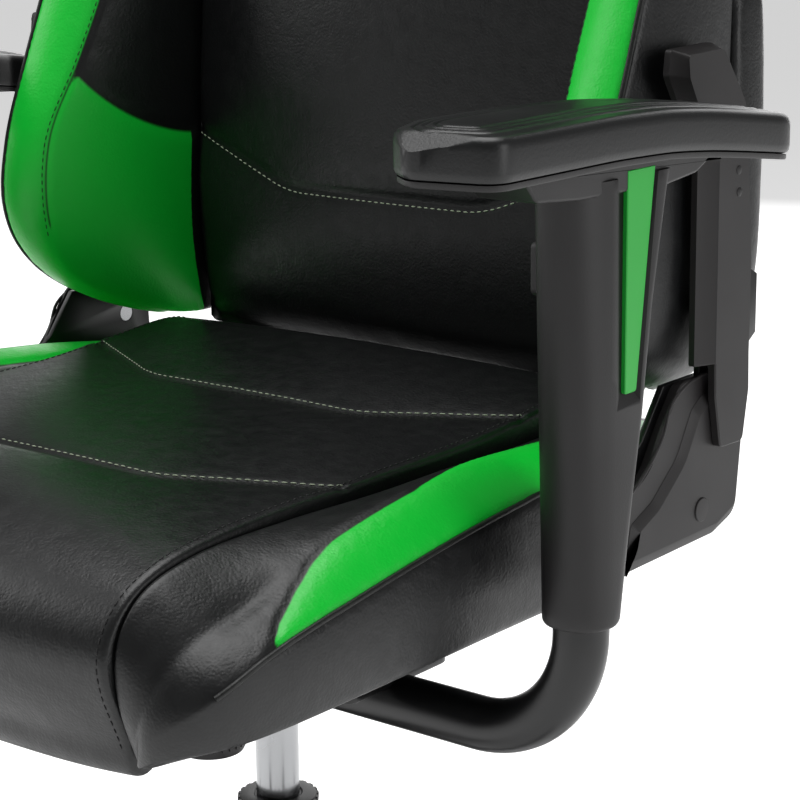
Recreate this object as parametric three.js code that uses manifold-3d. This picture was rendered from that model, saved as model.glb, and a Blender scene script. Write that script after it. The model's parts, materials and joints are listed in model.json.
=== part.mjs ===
// Racing-style gaming chair: five-star base on casters, gas lift, rocking plate, bucket seat,
// reclining backrest and two height-adjustable armrests. Millimetres, +Z up, the sitter faces -Y
// and the sitter's left hand is towards +X.
import * as THREE from "three";
import { mergeVertices } from "three/addons/utils/BufferGeometryUtils.js";
import Module from "manifold-3d";

const wasm = await Module();
wasm.setup();

// ---------------------------------------------------------------- driving dimensions
const gap = 0.3;               // clearance between pieces that touch
const liftAxisY = 45.2;        // gas lift axis, measured from the middle of the whole chair's box

const base = { legs: 5, reach: 316, hubRadius: 46, hubBottom: 96, hubTop: 206, bossRadius: 22 };
const caster = { radius: 30, halfWidth: 28, web: 5.5, trail: 22, top: 73, stem: 5.5 };
const lift = { tube: 25, rod: 14, tubeBottom: 64, tubeTop: 274, capTop: 280, rodTop: 388 };
const tilt = { y: -30, z: 392, pin: 5 };
const housing = { half: 50, bottom: 368 };
const board = { half: 150, front: -255, rear: 135, bottom: 424, thick: 3.5 };
const seatLoop = { radius: 11, x: 139, front: -281, rear: 115, corner: 40 };   // bent tube under the cushion
const seat = { half: 175.5, top: 548, front: -322, rear: 116, bottom: 452 };
const bolster = { inner: 176.5, outer: 240, bottom: 451, front: -344, rear: 150 };
const pivot = { y: 118, z: 548, pin: 6 };
// how far out from the middle each plate and cover of the recliner starts and ends
const side = {
  seatPlate: [240.6, 244.8], backPlate: [245.4, 249.4], cover: [245.2, 256], room: 250,
  armCover: [250, 262], armCoverFoot: 256.6,
};
const back = { half: 171.5, bottom: 556, joint: 1088, top: 1330, front: 117, core: 139, lean: 0.048 };
const arm = { x: 290, y: -85, half: 20, bottom: 481, top: 700, tube: 15, bend: 66, low: 409 };
// the height latch on the armrest's inner face
const button = { front: -98, rear: -76, low: 654, high: 682 };
const pad = { x: 289, half: 38, front: -222, rear: 85, bottom: 728, top: 755,
  cut: 17, cutFront: 2, cutRear: 42 };

// ---------------------------------------------------------------- materials
function finish(color, roughness, metalness) {
  return new THREE.MeshStandardMaterial({ color, roughness, metalness });
}
const blackLeather = finish("#1b1b1d", 0.45, 0);
const greenLeather = finish("#2db62f", 0.42, 0);
const blackPlastic = finish("#202022", 0.5, 0);
const softPlastic = finish("#19191b", 0.55, 0);
const greenPlastic = finish("#2aa62c", 0.35, 0);
const blackSteel = finish("#17171a", 0.38, 0.6);
const chromedSteel = finish("#c9ccd0", 0.18, 1);
const casterRubber = finish("#2c2c2f", 0.6, 0);

// ---------------------------------------------------------------- shape helpers
// A closed three.js geometry as a solid: shared corners merged, faces that have no area dropped.
function solid(geometry) {
  const bare = geometry.clone();
  for (const name of Object.keys(bare.attributes)) {
    if (name !== "position") bare.deleteAttribute(name);
  }
  const merged = mergeVertices(bare, 1e-3);
  const corners = merged.index.array;
  const faces = [];
  for (let i = 0; i < corners.length; i += 3) {
    const [a, b, c] = corners.slice(i, i + 3);
    if (a !== b && b !== c && c !== a) faces.push(a, b, c);
  }
  const vertProperties = new Float32Array(merged.attributes.position.array);
  const mesh = new wasm.Mesh({ numProp: 3, vertProperties, triVerts: new Uint32Array(faces) });
  return new wasm.Manifold(mesh);
}

function geometryOf(body) {
  const { vertProperties, triVerts } = body.getMesh();
  const geometry = new THREE.BufferGeometry();
  geometry.setAttribute("position", new THREE.BufferAttribute(new Float32Array(vertProperties), 3));
  geometry.setIndex(new THREE.BufferAttribute(new Uint32Array(triVerts), 1));
  return geometry;
}

function shapeOf(points) {
  return new THREE.Shape(points.map(([a, b]) => new THREE.Vector2(a, b)));
}

// Extrusions of an outline along one axis. Outlines are (y, z), (x, z) and (x, y) in turn.
function alongX(shape, from, to, options = {}) {
  const geometry = new THREE.ExtrudeGeometry(shape, { depth: to - from, bevelEnabled: false, ...options });
  const turn = new THREE.Matrix4().makeBasis(
    new THREE.Vector3(0, 1, 0), new THREE.Vector3(0, 0, 1), new THREE.Vector3(1, 0, 0));
  return geometry.applyMatrix4(turn).translate(from, 0, 0);
}

function alongY(shape, from, to, options = {}) {
  const geometry = new THREE.ExtrudeGeometry(shape, { depth: to - from, bevelEnabled: false, ...options });
  return geometry.rotateX(Math.PI / 2).translate(0, to, 0);
}

function alongZ(shape, from, to, options = {}) {
  const geometry = new THREE.ExtrudeGeometry(shape, { depth: to - from, bevelEnabled: false, ...options });
  return geometry.translate(0, 0, from);
}

function box(x0, x1, y0, y1, z0, z1) {
  const geometry = new THREE.BoxGeometry(x1 - x0, y1 - y0, z1 - z0);
  return geometry.translate((x0 + x1) / 2, (y0 + y1) / 2, (z0 + z1) / 2);
}

function rodX(radius, from, to, y, z, sides = 20) {
  const geometry = new THREE.CylinderGeometry(radius, radius, to - from, sides).rotateZ(Math.PI / 2);
  return geometry.translate((from + to) / 2, y, z);
}

function rodY(radius, from, to, x, z, sides = 20) {
  const geometry = new THREE.CylinderGeometry(radius, radius, to - from, sides);
  return geometry.translate(x, (from + to) / 2, z);
}

function rodZ(radius, from, to, x, y, sides = 20) {
  const geometry = new THREE.CylinderGeometry(radius, radius, to - from, sides).rotateX(Math.PI / 2);
  return geometry.translate(x, y, (from + to) / 2);
}

// A turned piece: the profile is (radius, height).
function turned(profile, sides) {
  const points = profile.map(([radius, height]) => new THREE.Vector2(radius, height));
  return new THREE.LatheGeometry(points, sides).rotateX(Math.PI / 2);
}

function circle(radius, sides = 10) {
  const corners = [];
  for (let i = 0; i < sides; i++) {
    const angle = (i / sides) * 2 * Math.PI;
    corners.push([radius * Math.cos(angle), radius * Math.sin(angle)]);
  }
  return shapeOf(corners);
}

function tubeAlong(points, radius, steps, sides = 10) {
  const path = new THREE.CatmullRomCurve3(points.map((p) => new THREE.Vector3(...p)), false, "centripetal");
  return new THREE.ExtrudeGeometry(circle(radius, sides), { extrudePath: path, steps, bevelEnabled: false });
}

// Moves every corner of a geometry by a rule.
function reshape(geometry, rule) {
  const place = geometry.attributes.position;
  const point = new THREE.Vector3();
  for (let i = 0; i < place.count; i++) {
    point.fromBufferAttribute(place, i);
    rule(point);
    place.setXYZ(i, point.x, point.y, point.z);
  }
  return geometry;
}

// A smooth height over a station, through a few chosen (station, value) pairs.
function smooth(pairs) {
  return (station) => {
    const last = pairs.length - 1;
    if (station <= pairs[0][0]) return pairs[0][1];
    if (station >= pairs[last][0]) return pairs[last][1];
    const i = pairs.findIndex(([s]) => s > station) - 1;
    const [s0, v0] = pairs[i];
    const [s1, v1] = pairs[i + 1];
    const t = (station - s0) / (s1 - s0);
    return v0 + (v1 - v0) * t * t * (3 - 2 * t);
  };
}

// ---------------------------------------------------------------- assembly
const chair = new THREE.Group();
chair.name = "gaming_chair";
chair.position.y = liftAxisY;

function add(name, body, material, parent = chair) {
  const geometry = body.isBufferGeometry ? geometryOf(solid(body)) : geometryOf(body);
  const mesh = new THREE.Mesh(geometry, material);
  mesh.name = name;
  parent.add(mesh);
  return mesh;
}

// The left piece as drawn, and its mirror image on the right.
function addPair(name, body, material) {
  add(`${name}_left`, body, material);
  add(`${name}_right`, body, material).scale.x = -1;
}

// ---------------------------------------------------------------- base and casters
function legSolid() {
  const outline = shapeOf([
    [20, 118], [70, 116], [210, 96], [base.reach - 20, 82], [base.reach + 12, 82],
    [base.reach + 14, 100], [base.reach - 30, 112], [150, 158], [60, 192], [20, 200],
  ]);
  const halfWidth = 21;
  const edge = 4;
  const leg = alongY(outline, -halfWidth, halfWidth,
    { bevelEnabled: true, bevelSize: edge, bevelThickness: edge, bevelSegments: 1 });
  reshape(leg, (p) => { p.y *= 1.12 - 0.42 * (p.x / base.reach); });
  const boss = rodZ(base.bossRadius, 76, 106, base.reach, 0, 14);
  return solid(leg).add(solid(boss));
}

function starBase() {
  let body = solid(turned([
    [0, base.hubBottom], [base.hubRadius, base.hubBottom], [base.hubRadius, 180],
    [base.hubRadius - 10, base.hubTop], [0, base.hubTop],
  ], 20));
  const leg = legSolid();
  const stemHole = solid(rodZ(caster.stem + gap, 70, 99, base.reach, 0, 10));
  for (let i = 0; i < base.legs; i++) {
    const turn = -90 + (360 / base.legs) * i;
    body = body.add(leg.rotate([0, 0, turn])).subtract(stemHole.rotate([0, 0, turn]));
  }
  return body.subtract(solid(rodZ(lift.tube + 2 * gap, 50, 250, 0, 0, 20)));
}

// Drawn with the stem on the Z axis and the wheels trailing towards -X.
function casterHood() {
  const { radius, halfWidth, web, trail, top, stem } = caster;
  const arc = new THREE.Shape();
  arc.absarc(-trail, radius, radius + 5, 0.15, Math.PI - 0.35, false);
  arc.absarc(-trail, radius, radius + 1.4, Math.PI - 0.35, 0.15, true);
  const fender = solid(alongY(arc, -halfWidth - 1, halfWidth + 1, { curveSegments: 6 }));
  const plate = solid(rodY(20, -web, web, -trail, radius, 12)).add(
    solid(box(-trail - 12, -trail + 12, -web, web, radius, radius + 33)));
  const boss = solid(rodZ(13, 48, top, 0, 0, 12)).add(solid(rodZ(stem, top - 1, 96, 0, 0, 10)));
  const room = solid(rodY(radius + 1.4, web, halfWidth + 3, -trail, radius, 18));
  const axleHole = solid(rodY(4.6, -web - 1, web + 1, -trail, radius, 10));
  return fender.add(plate).add(boss).subtract(room).subtract(room.mirror([0, 1, 0])).subtract(axleHole);
}

function casterWheels() {
  const { radius, halfWidth, web } = caster;
  const inner = web + 0.6;
  const half = [[0, halfWidth], [radius - 7, halfWidth], [radius - 1, halfWidth - 3], [radius, halfWidth - 6],
    [radius, inner + 4], [radius - 1.5, inner], [4, inner]];
  const profile = [...half.map(([r, h]) => [r, -h]), ...half.reverse()];
  return turned(profile, 16).rotateX(-Math.PI / 2);
}

function addCasters() {
  const headings = [68, 40, 150, 30, 140];
  const hood = casterHood();
  const wheels = casterWheels();
  for (let i = 0; i < base.legs; i++) {
    const legAngle = ((-90 + (360 / base.legs) * i) * Math.PI) / 180;
    const foot = new THREE.Group();
    foot.position.set(base.reach * Math.cos(legAngle), base.reach * Math.sin(legAngle), 0);
    foot.rotation.z = (headings[i] * Math.PI) / 180;
    chair.add(foot);
    add(`caster_hood_${i + 1}`, hood, blackPlastic, foot);
    const pair = add(`caster_wheels_${i + 1}`, wheels, casterRubber, foot);
    pair.position.set(-caster.trail, 0, caster.radius);
  }
}

// ---------------------------------------------------------------- gas lift
function gasCylinder() {
  const bore = lift.rod + 2 * gap;
  return turned([[0, lift.tubeBottom], [lift.tube, lift.tubeBottom], [lift.tube, lift.tubeTop],
    [bore, lift.tubeTop], [bore, 150], [0, 150]], 20);
}

function cylinderCap() {
  const bore = lift.rod + 2 * gap;
  const foot = lift.tubeTop + gap;
  return turned([[bore, foot], [lift.tube + 1, foot], [lift.tube + 1, lift.capTop - 2.5],
    [lift.tube - 1, lift.capTop], [bore, lift.capTop], [bore, foot]], 20);
}

function liftRod() {
  return turned([[0, 236], [lift.rod, 236], [lift.rod, lift.rodTop - 24], [lift.rod - 1, lift.rodTop],
    [0, lift.rodTop]], 20);
}

// ---------------------------------------------------------------- rocking mechanism
function tiltHousing() {
  const { half, bottom } = housing;
  const outline = shapeOf([[-80, bottom], [80, bottom], [92, bottom + 8], [92, 384], [-22, 405], [-95, 405],
    [-95, bottom + 10]]);
  const shell = solid(alongX(outline, -half, half));
  const socket = solid(rodZ(22, 352, bottom + 2, 0, 0, 24));
  const bore = solid(rodZ(lift.rod + gap, 340, lift.rodTop + 2, 0, 0, 24));
  const pinHole = solid(rodX(tilt.pin + gap, -half - 1, half + 1, tilt.y, tilt.z, 16));
  return shell.add(socket).subtract(bore).subtract(pinHole);
}

function tensionKnob() {
  const face = housing.bottom - 0.5;
  return turned([[0, 330], [19, 330], [23, 334], [23, 356], [12, 360], [12, face], [0, face]], 18)
    .translate(0, -62, 0);
}

function liftLever() {
  const start = -housing.half - 0.6;
  const rod = solid(rodX(4.5, -236, start, 40, 380, 12));
  const blade = shapeOf([[-294, 33], [-288, 29], [-232, 32], [-222, 36], [-222, 44], [-232, 48], [-288, 51],
    [-294, 47]]);
  return rod.add(solid(alongZ(blade, 374, 386)));
}

function seatPlate() {
  const top = board.bottom - gap;
  const plate = solid(box(-95, 95, -112, 108, top - 4, top));
  const cheek = shapeOf([[-62, top - 2], [2, top - 2], [-12, 386], [-22, 379], [-38, 379], [-48, 386]]);
  const inner = housing.half + 0.8;
  const flange = solid(alongX(cheek, inner, inner + 3));
  const holes = solid(rodX(tilt.pin + gap, -70, 70, tilt.y, tilt.z, 16));
  return plate.add(flange).add(flange.mirror([1, 0, 0])).subtract(holes);
}

// ---------------------------------------------------------------- seat
function seatFrame() {
  const { radius, x, front, rear, corner } = seatLoop;
  const rounded = new THREE.Shape();
  roundedBox(rounded, -x - radius, x + radius, front, rear, corner);
  const hole = new THREE.Path();
  roundedBox(hole, -x + radius, x - radius, front + 2 * radius, rear - 2 * radius, corner / 2);
  rounded.holes.push(hole);
  const low = board.bottom + board.thick + gap;
  const inset = 4;
  const edge = { bevelEnabled: true, bevelSize: 0, bevelThickness: inset, bevelOffset: 0, bevelSegments: 1 };
  return alongZ(rounded, low + inset, low + 2 * radius - inset, { ...edge, curveSegments: 4 });
}

function roundedBox(path, x0, x1, y0, y1, r) {
  path.moveTo(x0 + r, y0);
  path.lineTo(x1 - r, y0);
  path.absarc(x1 - r, y0 + r, r, -Math.PI / 2, 0, false);
  path.lineTo(x1, y1 - r);
  path.absarc(x1 - r, y1 - r, r, 0, Math.PI / 2, false);
  path.lineTo(x0 + r, y1);
  path.absarc(x0 + r, y1 - r, r, Math.PI / 2, Math.PI, false);
  path.lineTo(x0, y0 + r);
  path.absarc(x0 + r, y0 + r, r, Math.PI, 1.5 * Math.PI, false);
}

function seatCushion() {
  const outline = shapeOf([
    [-284, seat.bottom], [-284, 440], [-302, 440], [-316, 468], [seat.front, 500], [-312, 526],
    [-285, 541], [-240, 547], [-100, seat.top], [20, 550], [90, 556], [110, 548],
    [seat.rear, 530], [seat.rear, seat.bottom],
  ]);
  return alongX(outline, -seat.half, seat.half);
}

function seatBolster() {
  const { front, rear } = bolster;
  const section = shapeOf([
    [0, 0], [0.5, 0], [1, 0.18], [1, 0.78], [0.87, 0.93], [0.6, 1], [0.3, 0.98], [0, 0.86],
  ]);
  const crest = smooth([
    [front, 470], [-325, 500], [-290, 518], [-160, 549], [-90, 554], [0, 549], [110, 530], [rear, 522],
  ]);
  const outer = smooth([[front, 190], [-320, 212], [-280, 231], [-200, bolster.outer]]);
  const foot = smooth([[front, 446], [-300, bolster.bottom], [112, bolster.bottom], [122, 503]]);
  const body = alongY(section, front, rear, { steps: 19 });
  return reshape(body, (p) => {
    p.x = bolster.inner + p.x * (outer(p.y) - bolster.inner);
    p.z = foot(p.y) + p.z * (crest(p.y) - foot(p.y));
  });
}

// ---------------------------------------------------------------- recliner
function reclinerSeatPlate() {
  const outline = shapeOf([[0, 480], [125, 480], [140, 494], [142, 530], [pivot.y + 22, 562], [pivot.y, 572],
    [66, 572], [44, 544], [0, 512]]);
  const hole = new THREE.Path().absarc(pivot.y, pivot.z, pivot.pin + gap, 0, 2 * Math.PI, true);
  outline.holes.push(hole);
  return alongX(outline, ...side.seatPlate, { curveSegments: 8 });
}

function reclinerBackPlate() {
  const outline = shapeOf([
    [98, pivot.z], [98, 735], [128, 735], [134, 640], [163, 624], [163, 588], [140, 574], [140, pivot.z],
  ]);
  const [from, to] = side.backPlate;
  const eye = solid(rodX(21, from, to, pivot.y + 1, pivot.z, 20));
  const hole = solid(rodX(pivot.pin + gap, from - 1, to + 1, pivot.y, pivot.z, 16));
  return solid(alongX(outline, from, to)).add(eye).subtract(hole);
}

function reclinePin() {
  return rodX(pivot.pin, side.seatPlate[0], side.backPlate[1] + gap, pivot.y, pivot.z, 16);
}

function hingeCover() {
  const outline = new THREE.Shape();
  outline.moveTo(-38, 492);
  outline.quadraticCurveTo(-30, 473, 2, 472);
  outline.lineTo(115, 475);
  outline.quadraticCurveTo(136, 478, 139, 490);
  outline.lineTo(143, 526);
  outline.quadraticCurveTo(143, 566, 112, 574);
  outline.lineTo(76, 573);
  outline.quadraticCurveTo(58, 566, 54, 549);
  outline.quadraticCurveTo(38, 520, -2, 508);
  const [from, to] = side.cover;
  const room = solid(box(from - 5, side.room, 90, 160, 515, 600));    // the backrest plate turns in here
  return solid(alongX(outline, from, to, { curveSegments: 5 })).subtract(room);
}

// The cover on the backrest side: thick beside the backrest, thin where it overlaps the hinge cover.
function reclineArmCover() {
  const upper = shapeOf([
    [98, 581], [97, 706], [74, 726], [52, 752], [54, 766], [100, 767], [130, 731], [141, 640], [140, 581],
  ]);
  const lower = shapeOf([[104, 532], [98, 540], [98, 583], [140, 583], [140, 540], [134, 532]]);
  const [from, to] = side.armCover;
  return solid(alongX(upper, from, to)).add(solid(alongX(lower, side.armCoverFoot, to)));
}

function screwCap() {
  const face = side.cover[1] + gap;
  return rodX(7.5, face, face + 1.7, 92, 494, 20);
}

function reclineLever() {
  const hub = solid(rodX(15, 256.6, 268, 78, 512, 20));
  const stalk = shapeOf([[80, 500], [84, 522], [20, 515], [-12, 512], [-18, 505], [-14, 497], [20, 496]]);
  return hub.add(solid(alongX(stalk, 261, 272))).mirror([1, 0, 0]);
}

// ---------------------------------------------------------------- backrest
const leanAt = (z) => back.lean * (z - 608);

function lean(geometry) {
  return reshape(geometry, (p) => { p.y += leanAt(p.z); });
}

function backCushion() {
  const outline = shapeOf([
    [back.core, back.bottom], [126, back.bottom + 2], [119, 582], [back.front, 608], [back.front, 820],
    [back.front - 2, back.joint - gap], [back.core, back.joint - gap],
  ]);
  return lean(alongX(outline, -back.half, back.half));
}

function backBolster() {
  const section = shapeOf([[0, 0], [0, -0.16], [0.58, -0.86], [0.92, -1], [1, -0.9], [1, 0]]);
  const low = 562;
  const nose = smooth([
    [low, 88], [590, 34], [640, -4], [690, 0], [775, 26], [860, 54], [950, 54], [1020, 44], [back.joint, 62],
  ]);
  const outer = smooth([
    [low, 212], [585, 228], [625, 237], [760, 236], [850, 230], [950, 248], [1020, 267], [back.joint, 262],
  ]);
  const inner = back.half + 2 * gap;
  const body = alongZ(section, low, back.joint - gap, { steps: 18 });
  return lean(reshape(body, (p) => {
    p.x = inner + p.x * (outer(p.z) - inner);
    p.y = back.core + p.y * (back.core - nose(p.z));
  }));
}

function harnessSlot(inset) {
  return shapeOf([[88 + inset, 1128 + inset], [158 - 1.6 * inset, 1116 + inset],
    [150 - inset, 1166 - 0.7 * inset], [96 + inset, 1186 - 1.3 * inset]]);
}

// An outline of which only the +X half is given, closed about the middle.
function bothHalves(half) {
  return shapeOf([...half, ...half.map(([x, z]) => [-x, z]).reverse()]);
}

function headCushion() {
  const outline = bothHalves([
    [262, back.joint], [250, 1130], [172, 1196], [152, 1232], [148, 1288], [126, 1318], [70, back.top],
  ]);
  const body = solid(lean(alongY(outline, 92, back.core)));
  const slot = solid(lean(alongY(harnessSlot(0), 60, 200)));
  return body.subtract(slot).subtract(slot.mirror([1, 0, 0]));
}

function harnessBezel() {
  const outer = harnessSlot(0.6);
  const ring = solid(lean(alongY(outer, 86, back.core + 50)));
  return ring.subtract(solid(lean(alongY(harnessSlot(5), 60, 220))));
}

function backFrame() {
  const y = back.core + 11.5;
  const half = [[205, y, 585], [208, y, 720], [212, y, 900], [214, y, 1010], [204, y, 1090], [198, y, 1140],
    [152, y, 1210], [124, y, 1262], [90, y, 1298]];
  const other = half.map(([x, py, z]) => [-x, py, z]).reverse();
  const loop = solid(lean(tubeAlong([...half, ...other], 10, 44, 8)));
  const cross = solid(rodX(10, -244.9, 244.9, y, 600, 12));
  return loop.add(cross);
}

function backCover() {
  const outline = bothHalves([
    [216, 576], [238, 604], [240, 760], [230, 850], [246, 950], [262, 1020], [258, back.joint],
    [246, 1130], [168, 1192], [148, 1232], [144, 1286], [122, 1314], [68, 1326],
  ]);
  const shell = solid(lean(alongY(outline, back.core + 23.5, back.core + 49)));
  const slot = solid(lean(alongY(harnessSlot(0), 60, 220)));
  return shell.subtract(slot).subtract(slot.mirror([1, 0, 0]));
}

// ---------------------------------------------------------------- armrests
// The pad and what carries it droop a little towards the rear.
const plateThick = 3.3;
const padDrop = (y) => 0.035 * (y - pad.front);

function droop(geometry) {
  return reshape(geometry, (p) => { p.z -= padDrop(p.y); });
}

function armTube() {
  const { x, y, tube, bend, low } = arm;
  const path = new THREE.CurvePath();
  const at = (px, pz) => new THREE.Vector3(px, y, pz);
  path.add(new THREE.LineCurve3(at(x, 636), at(x, low + bend)));
  const k = bend * 0.4477;      // keeps the corner of the curve a quarter circle
  path.add(new THREE.CubicBezierCurve3(
    at(x, low + bend), at(x, low + k), at(x - bend + k, low), at(x - bend, low)));
  path.add(new THREE.LineCurve3(at(x - bend, low), at(112, low)));
  const bent = { extrudePath: path, steps: 21, bevelEnabled: false };
  const bar = solid(new THREE.ExtrudeGeometry(circle(tube, 12), bent));
  const flangeTop = board.bottom - gap;
  const flange = solid(box(100, 170, y - 45, y + 45, flangeTop - 4, flangeTop));
  const saddle = solid(box(114, 160, y - 10, y + 10, low + 4, flangeTop - 1));
  return bar.add(flange).add(saddle);
}

function sleeveColumn() {
  const plan = new THREE.Shape();
  plan.moveTo(-1, 1);
  plan.lineTo(-1, 0.4);
  plan.bezierCurveTo(-1, 0.1, -0.6, 0, 0, 0);
  plan.bezierCurveTo(0.6, 0, 1, 0.1, 1, 0.4);
  plan.lineTo(1, 1);
  const frontAt = smooth([[arm.bottom, -105], [arm.top, -117]]);
  const rearAt = smooth([[arm.bottom, -66], [590, -60], [arm.top + 10, -38]]);
  const column = alongZ(plan, arm.bottom, arm.top + 12, { steps: 6, curveSegments: 5 });
  return solid(reshape(column, (p) => {
    p.x = arm.x + p.x * arm.half;
    p.y = frontAt(p.z) + p.y * (rearAt(p.z) - frontAt(p.z));
  }));
}

function insertOutline(room) {
  return shapeOf([[-78 - room, 713 + room], [-75 - room, 608 - room], [-66 + room, 606 - room],
    [-50 + room, 713 + room]]);
}

function armSleeve() {
  const under = pad.bottom - plateThick - 2 * gap;
  const wing = shapeOf([
    [-168, under], [-152, under - 10], [-118, 711], [-34, 712], [-8, 716], [14, under - 3], [22, under],
  ]);
  const wings = solid(droop(alongX(wing, arm.x - arm.half, arm.x + arm.half)));
  const bore = solid(rodZ(arm.tube + 0.4, 470, 706, arm.x, arm.y, 20));
  const groove = solid(alongX(insertOutline(0.4), arm.x + arm.half - 3, arm.x + arm.half + 4));
  const face = arm.x - arm.half;
  const { front, rear, low, high } = button;
  const room = 0.4;
  const pocket = solid(box(face - 2, face + 4.4, front - room, rear + room, low - room, high + room));
  return sleeveColumn().add(wings).subtract(bore).subtract(groove).subtract(pocket);
}

function armInsert() {
  return alongX(insertOutline(0), arm.x + arm.half - 2.6, arm.x + arm.half + 0.4);
}

function armButton() {
  const face = arm.x - arm.half;
  return box(face - 5, face + 1, button.front, button.rear, button.low, button.high);
}

// The inner rear corner is cut back, so that the pad passes the cover beside the backrest.
function padOutline(inset) {
  const inner = pad.x - pad.half + inset;
  const outer = pad.x + pad.half - inset;
  const front = pad.front + inset;
  const rear = pad.rear - inset;
  const plan = new THREE.Shape();
  plan.moveTo(inner + 10, front + 14);
  plan.quadraticCurveTo(inner + 14, front, inner + 26, front);
  plan.lineTo(outer - 26, front);
  plan.quadraticCurveTo(outer - 14, front, outer - 10, front + 14);
  plan.lineTo(outer, front + 90);
  plan.lineTo(outer, rear - 22);
  plan.quadraticCurveTo(outer, rear, outer - 22, rear);
  plan.lineTo(inner + pad.cut + 14, rear);
  plan.quadraticCurveTo(inner + pad.cut, rear, inner + pad.cut, rear - 14);
  plan.lineTo(inner + pad.cut - 2, pad.cutRear);
  plan.lineTo(inner, pad.cutFront);
  plan.lineTo(inner, front + 90);
  return plan;
}

function armPad() {
  const crown = 5;
  const middle = (pad.front + pad.rear) / 2;
  const cushion = alongZ(padOutline(0), pad.bottom, pad.top, { curveSegments: 3, steps: 3 });
  return droop(reshape(cushion, (p) => {
    if (p.z < pad.top - 1) return;
    p.x = pad.x + (p.x - pad.x) * (1 - crown / pad.half);
    p.y = middle + (p.y - middle) * (1 - crown / (pad.rear - middle));
  }));
}

function padPlate() {
  const top = pad.bottom - gap;
  return droop(alongZ(padOutline(9), top - plateThick, top, { curveSegments: 3 }));
}

// ---------------------------------------------------------------- the whole chair
add("star_base", starBase(), blackPlastic);
addCasters();
add("gas_cylinder", gasCylinder(), blackSteel);
add("cylinder_cap", cylinderCap(), blackPlastic);
add("lift_rod", liftRod(), chromedSteel);
add("tilt_housing", tiltHousing(), blackSteel);
add("tension_knob", tensionKnob(), blackPlastic);
add("lift_lever", liftLever(), blackPlastic);

add("seat_plate", seatPlate(), blackSteel);
add("tilt_pin", rodX(tilt.pin, -58, 58, tilt.y, tilt.z, 16), chromedSteel);
const boardTop = board.bottom + board.thick;
add("seat_board", box(-board.half, board.half, board.front, board.rear, board.bottom, boardTop), blackSteel);
add("seat_frame", seatFrame(), blackSteel);
add("seat_cushion", seatCushion(), blackLeather);
addPair("seat_bolster", seatBolster(), greenLeather);
addPair("recliner_seat_plate", reclinerSeatPlate(), blackSteel);
add("recliner_cross_tube", rodX(11, -240.3, 240.3, 135, 485, 16), blackSteel);
addPair("recline_pin", reclinePin(), chromedSteel);
addPair("hinge_cover", hingeCover(), softPlastic);
add("hinge_screw_cap", screwCap(), softPlastic);
add("recline_lever", reclineLever(), blackPlastic);

add("back_frame", backFrame(), blackSteel);
addPair("recliner_back_plate", reclinerBackPlate(), blackSteel);
addPair("recline_arm_cover", reclineArmCover(), softPlastic);
add("back_cushion", backCushion(), blackLeather);
addPair("back_bolster", backBolster(), greenLeather);
add("head_cushion", headCushion(), blackLeather);
add("back_cover", backCover(), blackLeather);
addPair("harness_bezel", harnessBezel(), blackPlastic);

addPair("arm_tube", armTube(), blackSteel);
addPair("arm_sleeve", armSleeve(), blackPlastic);
addPair("arm_insert", armInsert(), greenPlastic);
addPair("arm_button", armButton(), blackPlastic);
addPair("pad_plate", padPlate(), blackPlastic);
addPair("arm_pad", armPad(), softPlastic);

export default chair;
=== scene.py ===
import json
import math

import bmesh
import bpy
import numpy as np
from mathutils import Matrix, Vector
from mathutils.bvhtree import BVHTree


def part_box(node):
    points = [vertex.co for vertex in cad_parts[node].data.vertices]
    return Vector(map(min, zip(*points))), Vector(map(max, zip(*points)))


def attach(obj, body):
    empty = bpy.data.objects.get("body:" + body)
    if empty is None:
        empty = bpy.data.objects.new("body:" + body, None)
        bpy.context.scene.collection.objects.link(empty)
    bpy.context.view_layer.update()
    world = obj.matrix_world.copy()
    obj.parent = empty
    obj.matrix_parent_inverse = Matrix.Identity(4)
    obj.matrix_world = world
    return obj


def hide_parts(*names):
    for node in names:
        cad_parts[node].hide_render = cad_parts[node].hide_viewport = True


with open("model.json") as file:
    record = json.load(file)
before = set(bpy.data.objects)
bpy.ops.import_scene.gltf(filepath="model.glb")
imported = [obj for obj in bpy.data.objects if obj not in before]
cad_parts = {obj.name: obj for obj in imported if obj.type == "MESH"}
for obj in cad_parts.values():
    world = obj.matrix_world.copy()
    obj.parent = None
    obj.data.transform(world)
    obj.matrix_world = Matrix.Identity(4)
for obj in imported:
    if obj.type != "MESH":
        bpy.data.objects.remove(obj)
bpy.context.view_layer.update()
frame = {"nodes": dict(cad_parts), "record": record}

rodLow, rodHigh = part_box("lift_rod")
axisY = (rodLow.y + rodHigh.y) / 2      # the gas lift's axis: every measure below is in millimetres from it
scene = bpy.context.scene
record = frame["record"]
bodyOf = {node: body for body, nodes in record["behaviour"]["bodies"].items() for node in nodes}
slotOf = {part["node"]: part["material_slot"] for part in record["subparts"]}
sides = {"left": 1, "right": -1}        # the sitter's left is +X


# Curves and outlines, in millimetres

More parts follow.
